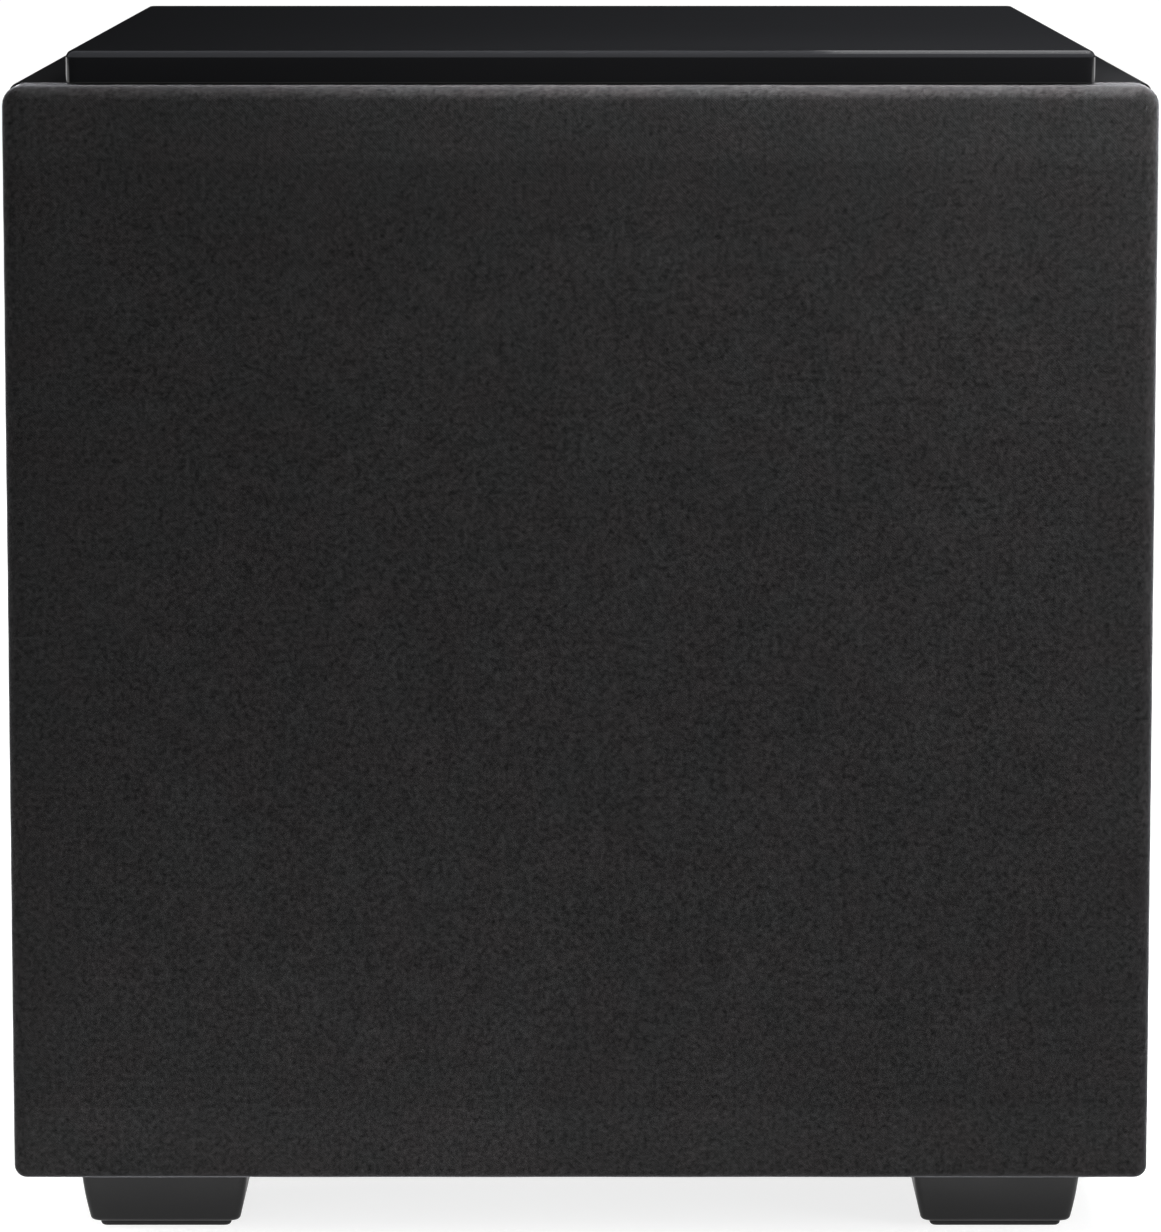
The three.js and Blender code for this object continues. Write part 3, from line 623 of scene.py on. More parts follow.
# ---------------------------------------------------------------- studio
def studio():
    back, above, tilt_down = 2.200, 0.108, 7.57  # the camera's place from the cloth's top edge, and its tilt
    camera = linked("camera", bpy.data.cameras.new("camera"))
    camera.data.lens = 186.1
    camera.data.clip_end = 100
    camera.location = (0, CLOTH_LOW.y - back, CLOTH_HIGH.z + above)
    camera.rotation_euler = (math.radians(90 - tilt_down), 0, 0)
    bpy.context.scene.camera = camera

    bm = bmesh.new()
    near, far, side = -2.0, 18.0, 12.0
    corners = ((-side, near, 0), (side, near, 0), (side, far, 0), (-side, far, 0))
    bm.faces.new([bm.verts.new(corner) for corner in corners])
    floor = shown("floor", bm)
    floor.data.materials.append(floor_material())

    # Most lights only light the surfaces. A glint is only seen in reflections. The side softbox does both.
    lights, glint, both = (True, False), (False, True), (True, True)
    rear, rear_aim, large = (-1.6, 2.4, 1.7), (0, 0.2, 0.2), (1.6, 1.6)
    for name, place, aim, size, power, kind in (
        ("lip_strip", (0.15, -0.224, 0.60), (0.15, -0.224, 0.4), (0.42, 0.08), 10, lights),
        ("key_softbox", (0.42, -0.40, 0.62), (0.15, -0.222, 0.35), (0.2, 0.2), 5, lights),
        ("right_fill", (0.9, -0.65, 0.28), (0.1, -0.222, 0.22), (0.4, 0.4), 8.5, lights),
        ("deck_glint", (0.36, -0.10, 1.0), (0.36, -0.10, 0.4), (0.5, 0.9), 2.4, glint),
        ("overhead_softbox", (0.15, -0.15, 1.9), (0, -0.1, 0.3), (1.2, 1.0), 12, lights),
        ("low_softbox", (-0.12, -0.38, 0.03), (-0.1, -0.2, 0.04), (0.42, 0.05), 0.38, lights),
        ("rear_softbox", rear, rear_aim, large, 60, lights),
        ("rear_glint", rear, rear_aim, large, 6, glint),
        ("left_strip", (-0.9, -0.225, 0.3), (-0.2, -0.22, 0.22), (0.06, 0.5), 5, lights),
        ("side_softbox", (2.4, 1.2, 1.5), (0, 0, 0.2), large, 2, both),
    ):
        light = bpy.data.lights.new(name, "AREA")
        light.shape, light.size, light.size_y = "RECTANGLE", size[0], size[1]
        light.energy = power
        lamp = linked(name, light)
        lamp.location = place
        lamp.visible_camera = False
        lamp.visible_diffuse, lamp.visible_glossy = kind
        lamp.rotation_euler = (Vector(aim) - Vector(place)).to_track_quat("-Z", "Y").to_euler()
    bpy.context.scene.view_settings.view_transform = "Standard"
    bpy.context.scene.world = room()


def room():
    """A pale room: white to look at, an even soft light on surfaces, and dark low down in reflections."""
    world = bpy.data.worlds.new("pale_room")
    world.use_nodes = True
    nodes, links = world.node_tree.nodes, world.node_tree.links
    nodes.clear()
    path = nodes.new("ShaderNodeLightPath")
    direction = nodes.new("ShaderNodeTexCoord").outputs["Generated"]
    height = nodes.new("ShaderNodeSeparateXYZ")
    links.new(direction, height.inputs[0])
    x, y, z = height.outputs

    def between(value, low, high, start, end):
        node = nodes.new("ShaderNodeMapRange")
        links.new(value, node.inputs[0])
        for i, number in enumerate((start, end, low, high)):
            node.inputs[i + 1].default_value = number
        return node.outputs[0]

    def times(a, b):
        node = nodes.new("ShaderNodeMath")
        node.operation = "MULTIPLY"
        links.new(a, node.inputs[0])
        links.new(b, node.inputs[1])
        return node.outputs[0]

    behind = times(between(y, 0, 1, 0.25, 0.5), between(z, 1, 0, 0.75, 0.95))
    across = between(x, 0.0072, 0.028, -0.09, 0.09)
    general = between(z, 0.06, 0.6, 0.0, 0.15)
    level = nodes.new("ShaderNodeMix")
    for value, socket in ((behind, level.inputs[0]), (general, level.inputs[2]), (across, level.inputs[3])):
        links.new(value, socket)
    tint = nodes.new("ShaderNodeVectorMath")
    tint.operation = "SCALE"
    tint.inputs[0].default_value = (0.95, 0.98, 1.08)
    links.new(level.outputs[0], tint.inputs[3])

    def background(color, strength):
        node = nodes.new("ShaderNodeBackground")
        node.inputs["Strength"].default_value = strength
        if isinstance(color, bpy.types.NodeSocket):
            links.new(color, node.inputs["Color"])
        else:
            node.inputs["Color"].default_value = (*color, 1)
        return node.outputs[0]

    def choose(factor, other, chosen):
        mix = nodes.new("ShaderNodeMixShader")
        for i, source in enumerate((factor, other, chosen)):
            links.new(source, mix.inputs[i])
        return mix.outputs[0]

    soft = background((1.0, 1.0, 1.0), 0.68)
    reflected = background(tint.outputs[0], 1.0)
    seen = background((1.0, 1.0, 1.0), 1.0)
    lit = choose(path.outputs["Is Glossy Ray"], soft, reflected)
    out = nodes.new("ShaderNodeOutputWorld")
    links.new(choose(path.outputs["Is Camera Ray"], lit, seen), out.inputs[0])
    return world


# ---------------------------------------------------------------- grille
def grille_cloth():
    """Cloth stretched over the frame: a flat front, rounded edges, and a hem turned in behind the bars."""
    hem = 11 * MM
    thickness = 0.8 * MM
    cell = 5 * MM
    back = CLOTH_HIGH.y - 0.1 * MM
    levels = [(EDGE - travel, CLOTH_LOW.y + inset) for inset, travel in quarter(EDGE, 8)]
    levels += [(0, back - 1 * MM), (0.3 * MM, back - 0.3 * MM), (1 * MM, back), (hem, back)]
    bm = stacked_bm([[(x, y, z) for x, z in cloth_outline(inset)] for inset, y in levels])
    bm.faces.ensure_lookup_table()
    bmesh.ops.delete(bm, geom=[bm.faces[-1]], context="FACES_ONLY")
    centre = (CLOTH_LOW + CLOTH_HIGH) / 2
    for axis in (0, 2):
        steps = int((CLOTH_HIGH - CLOTH_LOW)[axis] / cell)
        for k in range(1, steps):
            point, normal = Vector(centre), Vector((0, 0, 0))
            point[axis] = CLOTH_LOW[axis] + k * cell
            normal[axis] = 1
            everything = bm.verts[:] + bm.edges[:] + bm.faces[:]
            bmesh.ops.bisect_plane(bm, geom=everything, plane_co=point, plane_no=normal)
    settle(bm)
    cloth = shown("grille_cloth_stretched", bm, 60)
    thick = cloth.modifiers.new("cloth_thickness", "SOLIDIFY")
    thick.thickness = thickness
    thick.offset = -1
    rides(cloth, "grille", "grille_fabric", "grille_cloth")


def cloth_outline(inset):
    """The cloth's outline from the front, set in by `inset`: softer corners at the top than at the bottom."""
    x, z0, z1 = CLOTH_HIGH.x - inset, CLOTH_LOW.z + inset, CLOTH_HIGH.z - inset
    upper, lower = 7, 4.5
    outline = []
    for corner_x, corner_z, radius, start in ((-x, z0, lower, 180), (x, z0, lower, 270), (x, z1, upper, 0),
                                              (-x, z1, upper, 90)):
        r = max(radius * MM - inset, 0.8 * MM)
        middle_x, middle_z = corner_x - math.copysign(r, corner_x), corner_z + (r if corner_z == z0 else -r)
        for k in range(7):
            angle = math.radians(start + 15 * k)
            outline.append((middle_x + r * math.cos(angle), middle_z + r * math.sin(angle)))
    return outline


def settle(bm):
    """The taut cloth sinks a hair over the window and waves slightly where it turns the edges."""
    centre = (CLOTH_LOW + CLOTH_HIGH) / 2
    half = (CLOTH_HIGH - CLOTH_LOW) / 2
    sink, wave_depth, fade = 0.45 * MM, 0.08 * MM, 30 * MM
    for v in bm.verts:
        across = min(1.0, max(0.0, (half.x - 12 * MM - abs(v.co.x - centre.x)) / fade))
        up = min(1.0, max(0.0, (half.z - 25 * MM - abs(v.co.z - centre.z)) / fade))
        if v.co.y < CLOTH_LOW.y + 1 * MM:
            v.co.y += sink * across * up
        wave = math.sin(v.co.x * 310) * math.sin(v.co.z * 270) + 0.6 * math.sin(v.co.x * 97 + v.co.z * 61)
        if v.co.y > CLOTH_LOW.y + 3 * MM:
            v.co.x -= math.copysign(wave_depth * (1 + wave) / 2, v.co.x)
            v.co.z -= math.copysign(wave_depth * (1 + wave) / 2, v.co.z - centre.z)


def grille_frame():
    """A moulded frame with a wide window, gusseted corners and four pegs."""
    low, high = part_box("grille_frame")
    back = WRAP_LOW.y - 1.8 * MM
    inset = 0.5 * MM
    blank = rounded_box("grille_frame_moulding", low + Vector((inset, inset, inset)),
                        Vector((high.x - inset, back + 8 * MM, high.z - inset)), 5 * MM, 5)
    side, bar, gusset = 12 * MM, 25 * MM, 34 * MM
    x0, x1, z0, z1 = low.x + side, high.x - side, low.z + bar, high.z - bar
    window = filleted([(x0 + gusset, z0), (x1 - gusset, z0), (x1, z0 + gusset), (x1, z1 - gusset),
                       (x1 - gusset, z1), (x0 + gusset, z1), (x0, z1 - gusset), (x0, z0 + gusset)], 6 * MM)
    carved(blank, box_bm((-1, back, -1), (1, 1, 1)))
    carved(blank, drawn_bm(window, low.y - 1, back + 20 * MM))
    rides(softened(blank, 0.9 * MM), "grille", "grille_plastic", "grille_frame")
    peg = filleted([(0, -0.5), (5.8, -0.5), (5.8, 0.6), (4.3, 0.6), (4.3, 7), (3.6, 9.6), (0, 10)], 0.5,
                   closed=False)
    pegs = [turned_bm(peg, SMALL, behind(cup, back)) for cup in CUPS]
    rides(together("grille_pegs", pegs), "grille", "grille_plastic")


def peg_cups():
    ring = filleted(tube(5.0, 7.7, 0.2, 11.9), 0.9)
    for cup in CUPS:
        rides(turned(f"{cup}_rubber", ring, SMALL, behind(cup, WRAP_LOW.y)), "cabinet", "pad_rubber", cup)


# ---------------------------------------------------------------- cabinet
def cabinet_shell():
    """The cabinet's thin folded skin, open at the front and cut for the amplifier and the radiator."""
    skin = 0.7 * MM
    shell = shown("vinyl_wrap_skin", slab(WRAP_LOW, WRAP_HIGH, EDGE, 0.3 * MM, 1.2 * MM, axis=1))
    inside = slab(WRAP_LOW + Vector((skin, -0.05, skin)), WRAP_HIGH - Vector((skin, skin, skin)), EDGE - skin,
                  0.1 * MM, 0.5 * MM, axis=1)
    within = Vector((15, -30, 15)) * MM
    opening = box_bm(PLATE_LOW + within, PLATE_HIGH - within)
    mouth = turned_bm(tube(0, 141.3, -9, 9), ROUND, RADIATOR_PLACE)
    carved(shell, inside)
    carved(shell, opening, mouth)
    rides(even_normals(shell), "cabinet", "vinyl_wrap", "cabinet_wrap")


def front_baffle():
    board = shown("front_baffle_board",
                  slab(BAFFLE_LOW, BAFFLE_HIGH, EDGE - 1 * MM, 0.6 * MM, 0.3 * MM, axis=1))
    hole = turned_bm([(0, -5), (153.3, -5), (153.3, 6), (142, 6), (142, 40), (0, 40)], ROUND, WOOFER_PLACE)
    carved(board, hole, *[turned_bm(tube(0, 8, -5, 13), SMALL, behind(cup, WRAP_LOW.y)) for cup in CUPS])
    rides(even_normals(board), "cabinet", "painted_baffle", "front_baffle")


def top_deck():
    """The gloss plate, with a hairline shadow gap under it where it overhangs the grille."""
    plinth = 0.4 * MM
    slab_low = Vector((DECK_LOW.x, DECK_LOW.y, WRAP_HIGH.z + plinth))
    deck = even_normals(shown("gloss_deck_plate", slab(slab_low, DECK_HIGH, 4 * MM, 0.4 * MM, 2.6 * MM)))
    rides(deck, "cabinet", "gloss_lacquer", "top_deck")
    inset = 30 * MM
    base = rounded_box("deck_plinth", (DECK_LOW.x + inset, WRAP_LOW.y + inset, WRAP_HIGH.z + 0.05 * MM),
                       (DECK_HIGH.x - inset, DECK_HIGH.y - inset, WRAP_HIGH.z + plinth - 0.02 * MM),
                       0.1 * MM, 1)
    rides(base, "cabinet", "painted_baffle")


# ---------------------------------------------------------------- feet
def feet():
    for end in ("front", "rear"):
        for side in ("left", "right"):
            foot(f"{end}_{side}")


def foot(name):
    """A tapered block, rounded at its corners and under its edges, on a set-in pad, held by one screw."""
    low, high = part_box(f"foot_{name}")
    pad_low, pad_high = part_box(f"foot_pad_{name}")
    centre = (low + high) / 2
    half = (high.x - low.x) / 2
    height = high.z - low.z
    bottom_width, top_width, bulge = 52.6, 59.5, 0.45 * MM
    draft = 1 - bottom_width / top_width
    under = 1.5 * MM
    levels = [(inset, under - travel) for inset, travel in reversed(quarter(under))]
    levels += [(0, under + (height - under) * k / 8) for k in range(1, 9)]
    rings = []
    for inset, rise in levels:
        t = rise / height
        reach = half * (1 - draft * (1 - t)) + bulge * math.sin(math.pi * t) * (t < 1) - inset
        outline = rect(centre.x - reach, centre.x + reach, centre.y - reach, centre.y + reach, 3.4 * MM, 8)
        rings.append([(x, y, low.z + rise) for x, y in outline])
    block = shown(f"foot_{name}_block", stacked_bm(rings), 40)
    stand = Matrix.Translation((centre.x, centre.y, 0)) @ FACING_DOWN
    well = [(0, -5), (7, -5), (7, 14.2), (2.8, 14.3), (2.8, 40), (0, 40)]
    carved(block, turned_bm(well, SMALL, stand))
    rides(even_normals(block), "cabinet", "foot_plastic", f"foot_{name}")
    pad = shown(f"foot_pad_{name}_rubber",
                slab(pad_low, pad_high + Vector((0, 0, 0.2 * MM)), 3 * MM, 1.3 * MM, 0.1 * MM))
    carved(pad, turned_bm(tube(0, 7, -5, 8), SMALL, stand))
    rides(even_normals(pad), "cabinet", "pad_rubber", f"foot_pad_{name}")
    screw = moved(screw_bm(5.2, 3.0), stand @ Matrix.Translation((0, 11.3 * MM, 0)))
    rides(shown(f"foot_{name}_screw", screw), "cabinet", "foot_plastic", paint=BLACK_SCREW)


# ---------------------------------------------------------------- screws
def screw_bm(radius, height):
    """A pan head with a cross recess, drawn about +Y with its face at depth 0 and looking along -Y."""
    dome = [(0, 0), (radius * 0.35, 0.02 * radius), (radius * 0.72, 0.14 * radius),
            (radius * 0.93, 0.36 * radius), (radius, 0.62 * radius), (radius, height), (0, height)]
    head = shown("screw_head", turned_bm(dome, 24))
    arm, wide = radius * 0.55, radius * 0.13
    cross = [(-wide, -arm), (wide, -arm), (wide, -wide), (arm, -wide), (arm, wide), (wide, wide), (wide, arm),
             (-wide, arm), (-wide, wide), (-arm, wide), (-arm, -wide), (-wide, -wide)]
    recess = drawn_bm([(x * MM, z * MM) for x, z in cross], -1 * MM, radius * 0.45 * MM)
    carved(head, recess)
    bm = bmesh.new()
    bm.from_mesh(head.data)
    bpy.data.objects.remove(head)
    return bm


def circle(radius, count, depth=0.0):
    """Places evenly round a circle about +Y."""
    angles = [2 * math.pi * (k + 0.5) / count for k in range(count)]
    return [Matrix.Translation((radius * MM * math.cos(a), depth * MM, radius * MM * math.sin(a)))
            for a in angles]


def random_turn():
    return Matrix.Rotation(rng.uniform(0, math.pi), 4, "Y")


def screw_ring(name, place, radius, depth):
    """Screws evenly round a driver's flange, each turned by its own amount."""
    size = 3.2
    spots = [place @ spot @ random_turn() for spot in circle(radius, FLANGE_SCREWS, depth)]
    screws = copies(screw_bm(size, size * 0.9), spots)
    rides(together(name, screws), "cabinet", "cast_basket", paint=BLACK_SCREW)


# ---------------------------------------------------------------- drivers
def half_roll(middle_radius, radius, outer_lip, inner_lip, skin=1.1):
    """Profile of a surround: a half roll between its two glued lips, with soft bends at their feet."""
    steps = 18
    arcs = [[], []]
    for side, size in ((0, radius + skin / 2), (1, radius - skin / 2)):
        for k in range(steps + 1):
            angle = math.pi * k / steps
            arcs[side].append((middle_radius + size * math.cos(angle), 0.1 - size * math.sin(angle)))
    lips = [(outer_lip, 0.1), (outer_lip, 1.0), (middle_radius + radius - skin / 2, 1.0)]
    ends = [(middle_radius - radius + skin / 2, 1.0), (inner_lip, 1.0), (inner_lip, 0.1)]
    return lips + arcs[1] + ends + arcs[0][::-1]


def bends(piece, node, place, moving_body, outer, inner, slot):
    """Bends a turned piece: beyond the radius `outer` it stays with the cabinet, within `inner` it moves."""
    piece.data.materials.append(PAINT[slot])
    start, end = place @ Vector((outer, 0, 0)), place @ Vector((inner, 0, 0))
    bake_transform(piece, "cabinet", moving_body, start=start, end=end)
    follow = piece.data.attributes["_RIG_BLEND"]
    depth_axis = (place.to_3x3() @ Vector((0, 1, 0))).normalized()
    for v in piece.data.vertices:
        away = v.co - place.translation
        distance = (away - away.dot(depth_axis) * depth_axis).length
        t = min(1.0, max(0.0, (outer - distance) / (outer - inner)))
        follow.data[v.index].value = t * t * (3 - 2 * t)
    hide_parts(node)


def surround(name, node, place, roll, moving_body):
    piece = turned(name, half_roll(*roll), ROUND, place, sharp=60)
    middle_radius, radius = roll[0] * MM, roll[1] * MM
    bends(piece, node, place, moving_body, middle_radius + radius * 0.9, middle_radius - radius * 0.9,
          "surround_rubber")


def dome_cap(name, node, place, body, radius, depth, rise, shrink, skin):
    """The shallow dome glued over a cone's neck."""
    front = [(r, depth + rise * (r / radius) ** 2) for r in range(0, radius + 1, 5)]
    back = [(r * shrink, d + skin) for r, d in reversed(front)]
    rides(turned(name, front + back, ROUND, place, sharp=60), body, "cone_paper", node)


def woofer():
    """The front driver: trim gasket, roll, paper cone, dust cap, and the works behind."""
    place, body, screw_circle = WOOFER_PLACE, "woofer_motion", 145.6
    gasket = turned("woofer_trim_gasket", filleted(tube(139.4, 151.5, -1.2, 1), 0.7), ROUND, place)
    spots = circle(screw_circle, FLANGE_SCREWS)
    carved(gasket, *[turned_bm(tube(0, 3.6, -4, 4), 20, place @ spot) for spot in spots])
    rides(gasket, "cabinet", "surround_rubber", "woofer_gasket")
    screw_ring("woofer_screws", place, screw_circle, -1.0)
    surround("woofer_rubber_roll", "woofer_surround", place, (118.5, 11.5, 139, 100.5), body)
    front = [(107, 1.5)] + curve((100, 1.6), (72, 12), (27, 42), 16)
    back = [(107, 2.9), (101, 3.2)] + curve((99, 4.0), (73, 14.6), (28.8, 44), 16) + [(28.8, 50), (27, 50)]
    rides(turned("woofer_paper_cone", back + front[::-1], ROUND, place, sharp=45), body, "cone_paper",
          "woofer_cone")
    dome_cap("woofer_dome_cap", "woofer_dust_cap", place, body, 50, 15, 13.6, 0.975, 1.1)
    bead = filleted([(49.2, 28.9), (49.8, 27.7), (51.8, 27.4), (53.2, 26.6), (52.6, 27.9)], 0.3)
    rides(turned("woofer_glue_bead", bead, ROUND, place), body, "surround_rubber")
    basket = turned("woofer_cast_basket", filleted([
        (129, 1.3), (152, 1.3), (152, 5.7), (141, 5.7), (141, 14), (108, 56), (96, 66), (86, 72), (84, 100),
        (38, 100), (38, 95), (79, 95), (80, 72), (80, 62), (90, 62), (103, 54), (136, 12), (136, 5.7),
        (129, 5.7)], 0.8, 3), ROUND, place)
    carved(basket, *spoke_gaps(8, 60, 170, 18, 52, place))
    rides(basket, "cabinet", "cast_basket", "woofer_basket")
    pole = [(9, 98), (24.5, 98), (24.5, 141.2), (74, 141.2), (74, 151.2), (9, 151.2)]
    for name, node, slot, holder, profile in (
        ("coil_former", "coil_former", "coil_foil", body, tube(25.4, 26, 43, 122)),
        ("voice_coil", "voice_coil", "coil_copper", body, tube(26.3, 28.2, 90, 121)),
        ("top_plate", "magnet_top_plate", "magnet_steel", "cabinet",
         filleted(tube(29.4, 74, 100.4, 110.4), 1.2, 3)),
        ("ferrite_ring", "ferrite_magnet", "ferrite", "cabinet",
         filleted(tube(38, 78, 110.8, 140.8), 1.2, 3)),
        ("pole_piece", "pole_and_back_plate", "magnet_steel", "cabinet", filleted(pole, 1.2, 3)),
    ):
        rides(turned(f"woofer_{name}", profile, ROUND, place), holder, slot, node)
    spider("woofer_damping_spider", "woofer_spider", place, 26.4, 89, 59.8, body)


def curve(a, b, c, steps):
    """Points of a quadratic curve from a to c, drawn towards b."""
    out = []
    for k in range(steps + 1):
        t = k / steps
        out.append(tuple((1 - t) ** 2 * a[i] + 2 * t * (1 - t) * b[i] + t * t * c[i] for i in range(2)))
    return out


def spoke_gaps(count, inner, outer, y0, y1, place):
    """Wedge-shaped cutters that leave `count` spokes between them."""
    half_spoke, steps = 9, 12
    made = []
    for k in range(count):
        start = math.radians(360 / count * k + half_spoke)
        end = math.radians(360 / count * (k + 1) - half_spoke)
        sweep = [start + (end - start) * i / steps for i in range(steps + 1)]
        outline = [(outer * MM * math.cos(a), outer * MM * math.sin(a)) for a in sweep]
        outline += [(inner * MM * math.cos(a), inner * MM * math.sin(a)) for a in reversed(sweep)]
        made.append(moved(drawn_bm(outline, y0 * MM, y1 * MM), place))
    return made


def spider(name, node, place, inner, outer, depth, moving_body):
    """A corrugated disc, glued to what moves inside and to the frame outside."""
    skin, lip, hub, height, waves, steps = 0.9, 9, 4, 2, 5, 90
    profile = [(inner, depth)]
    for k in range(steps + 1):
        radius = inner + hub + (outer - lip - inner - hub) * k / steps
        profile.append((radius, depth - height * math.cos(2 * math.pi * waves * k / steps)))
    profile += [(outer - lip + 1.5, depth), (outer, depth)]
    profile += [(r, d + skin) for r, d in reversed(profile)]
    piece = turned(name, profile, 96, place, sharp=60)
    bends(piece, node, place, moving_body, (outer - lip) * MM, inner * MM, "spider_cloth")


def radiator():
    """The passive radiator in the bottom board, built as the woofer is, with a weight instead of a motor."""
    place, body = RADIATOR_PLACE, "radiator_motion"
    frame_piece = turned("radiator_cast_frame", filleted([
        (116, 1.3), (140, 1.3), (140, 6.6), (127, 6.6), (127, 16), (92, 52), (84, 58), (70, 58), (70, 54),
        (80, 54), (88, 48), (123, 14), (123, 6.6), (116, 6.6)], 0.8, 3), ROUND, place)
    carved(frame_piece, *spoke_gaps(6, 50, 150, 20, 46, place))
    rides(frame_piece, "cabinet", "cast_basket", "radiator_frame")
    screw_ring("radiator_screws", place, 133.6, -0.6)
    surround("radiator_rubber_roll", "radiator_surround", place, (105.5, 10.5, 127, 88.5), body)
    front = [(95, 1.5)] + curve((88, 1.6), (66, 9.0), (22.9, 23.2), 14)
    back = [(95, 2.9), (89, 3.4)] + curve((88, 4.2), (66, 11.4), (24.4, 24.7), 14) + [(24.4, 51), (22.9, 51)]
    rides(turned("radiator_paper_cone", back + front[::-1], ROUND, place, sharp=45), body, "cone_paper",
          "radiator_cone")
    dome_cap("radiator_dome_cap", "radiator_cap", place, body, 40, 9, 8, 0.97, 1.0)
    weight = filleted(tube(0, 21.5, 26, 38), 1.2, 3, closed=False)
    rides(turned("radiator_steel_weight", weight, 64, place), body, "magnet_steel", "radiator_weight")
    spider("radiator_damping_spider", "radiator_spider", place, 24.8, 79.5, 52.4, body)


# ---------------------------------------------------------------- amplifier
def amplifier():
    amplifier_plate()
    heatsink()
    for control in ("volume", "crossover"):
        knob(control)
    for control, body in (("phase_switch", "phase_slider"), ("power_mode_switch", "power_mode_slider")):
        slider(control, body)
    for name, paint in JACK_RINGS.items():
        jack(name, paint)
    mains_inlet()
    lamp()


def amplifier_plate():
    """The plate with its holes, ten screws, and plain marks round the controls."""
    outline = rect(PLATE_LOW.x, PLATE_HIGH.x, PLATE_LOW.z, PLATE_HIGH.z, 6 * MM, 8)
    plate = shown("amplifier_back_plate", drawn_bm(outline, PLATE_LOW.y, PLATE_HIGH.y))
    reach = 20

    def hole(node, radius):
        return turned_bm(tube(0, radius, -reach, reach), SMALL, behind(node, FACE_Y))

    def window(node, left, right, ends):
        """A cutter round a node's box, wider by these millimetres."""
        low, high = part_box(node)
        return box_bm((low.x - left * MM, FACE_Y - reach * MM, low.z - ends * MM),
                      (high.x + right * MM, FACE_Y + reach * MM, high.z + ends * MM))

    carved(plate, hole("volume_knob", 4.5), hole("crossover_knob", 4.5), hole("status_lamp", 3),
           *[hole(f"phono_jack_{n}", 5.6) for n in JACK_RINGS], window("phase_switch", 0.5, 4.5, 0.5),
           window("power_mode_switch", 3.5, 3.5, 0.5), window("mains_inlet", -2.4, -2.4, -1.9))
    rides(softened(plate, 0.45 * MM), "cabinet", "anodised_plate", "amplifier_plate")

    inset = 7.5 * MM
    half_x = (PLATE_HIGH.x - PLATE_LOW.x) / 2 - inset
    centre_z = (PLATE_LOW.z + PLATE_HIGH.z) / 2
    half_z = (PLATE_HIGH.z - PLATE_LOW.z) / 2 - inset
    spots = [(x, z) for x in (-half_x, half_x) for z in (-half_z, -half_z / 3, half_z / 3, half_z)]
    spots += [(0, -half_z), (0, half_z)]
    facing_back = Matrix.Rotation(math.pi, 4, "Z")
    head = 2.2 * MM
    places = [Matrix.Translation((x, FACE_Y + head, centre_z + z)) @ facing_back @ random_turn()
              for x, z in spots]
    rides(together("amplifier_screws", copies(screw_bm(3.6, 2.1), places)), "cabinet", "anodised_plate",
          paint=BLACK_SCREW)
    marks = []
    for control in ("volume_knob", "crossover_knob"):
        marks += dial_marks(middle(control))
    for control, ends in (("phase_switch", (-1.8, 5.8)), ("power_mode_switch", (-4.8, 0, 4.8))):
        at = middle(control)
        marks += [print_mark(at.x + dx * MM, at.z + 7 * MM, 0.5, 2.2) for dx in ends]
    for name in JACK_RINGS:
        at = middle(f"phono_jack_{name}")
        marks.append(print_mark(at.x, at.z - 10.5 * MM, 5.0, 0.6))
    rides(together("panel_marks", marks), "cabinet", "anodised_plate", paint=WHITE_PRINT)


def print_mark(x, z, width, height, turn=0.0):
    """One printed mark, a plain bar, on the plate's face."""
    bm = box_bm(*around(0, 0, width / 2, height / 2, -0.05 * MM, 0.12 * MM))
    return moved(bm, Matrix.Translation((x, FACE_Y, z)) @ Matrix.Rotation(turn, 4, "Y"))


def dial_marks(at, count=11, radius=15.5):
    """Marks from the knob's lowest to its highest setting, longer at both ends and in the middle."""
    made = []
    sweep = 300
    for k in range(count):
        angle = math.radians(-sweep / 2 + sweep * k / (count - 1))
        long = 3.4 if k in (0, count // 2, count - 1) else 2.0
        reach = (radius + long / 2) * MM
        x, z = at.x + reach * math.sin(angle), at.z + reach * math.cos(angle)
        made.append(print_mark(x, z, 0.5, long, angle))
    return made


def heatsink():
    low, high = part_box("heatsink")
    pitch, thickness, base, taper = 9.6 * MM, 2.2 * MM, 2 * MM, 0.35 * MM
    count = round((high.x - low.x - thickness) / pitch) + 1
    comb = [(low.x, low.y), (high.x, low.y)]
    for k in reversed(range(count)):
        left = low.x + k * pitch
        comb += [(left + thickness, low.y + base), (left + thickness - taper, high.y), (left + taper, high.y),
                 (left, low.y + base)]
    comb[2] = (high.x, low.y + base)
    fins = extruded_bm([(x, y, low.z) for x, y in comb], (0, 0, high.z - low.z))
    rides(softened(shown("heatsink_extrusion", fins), 0.35 * MM), "cabinet", "anodised_plate", "heatsink")


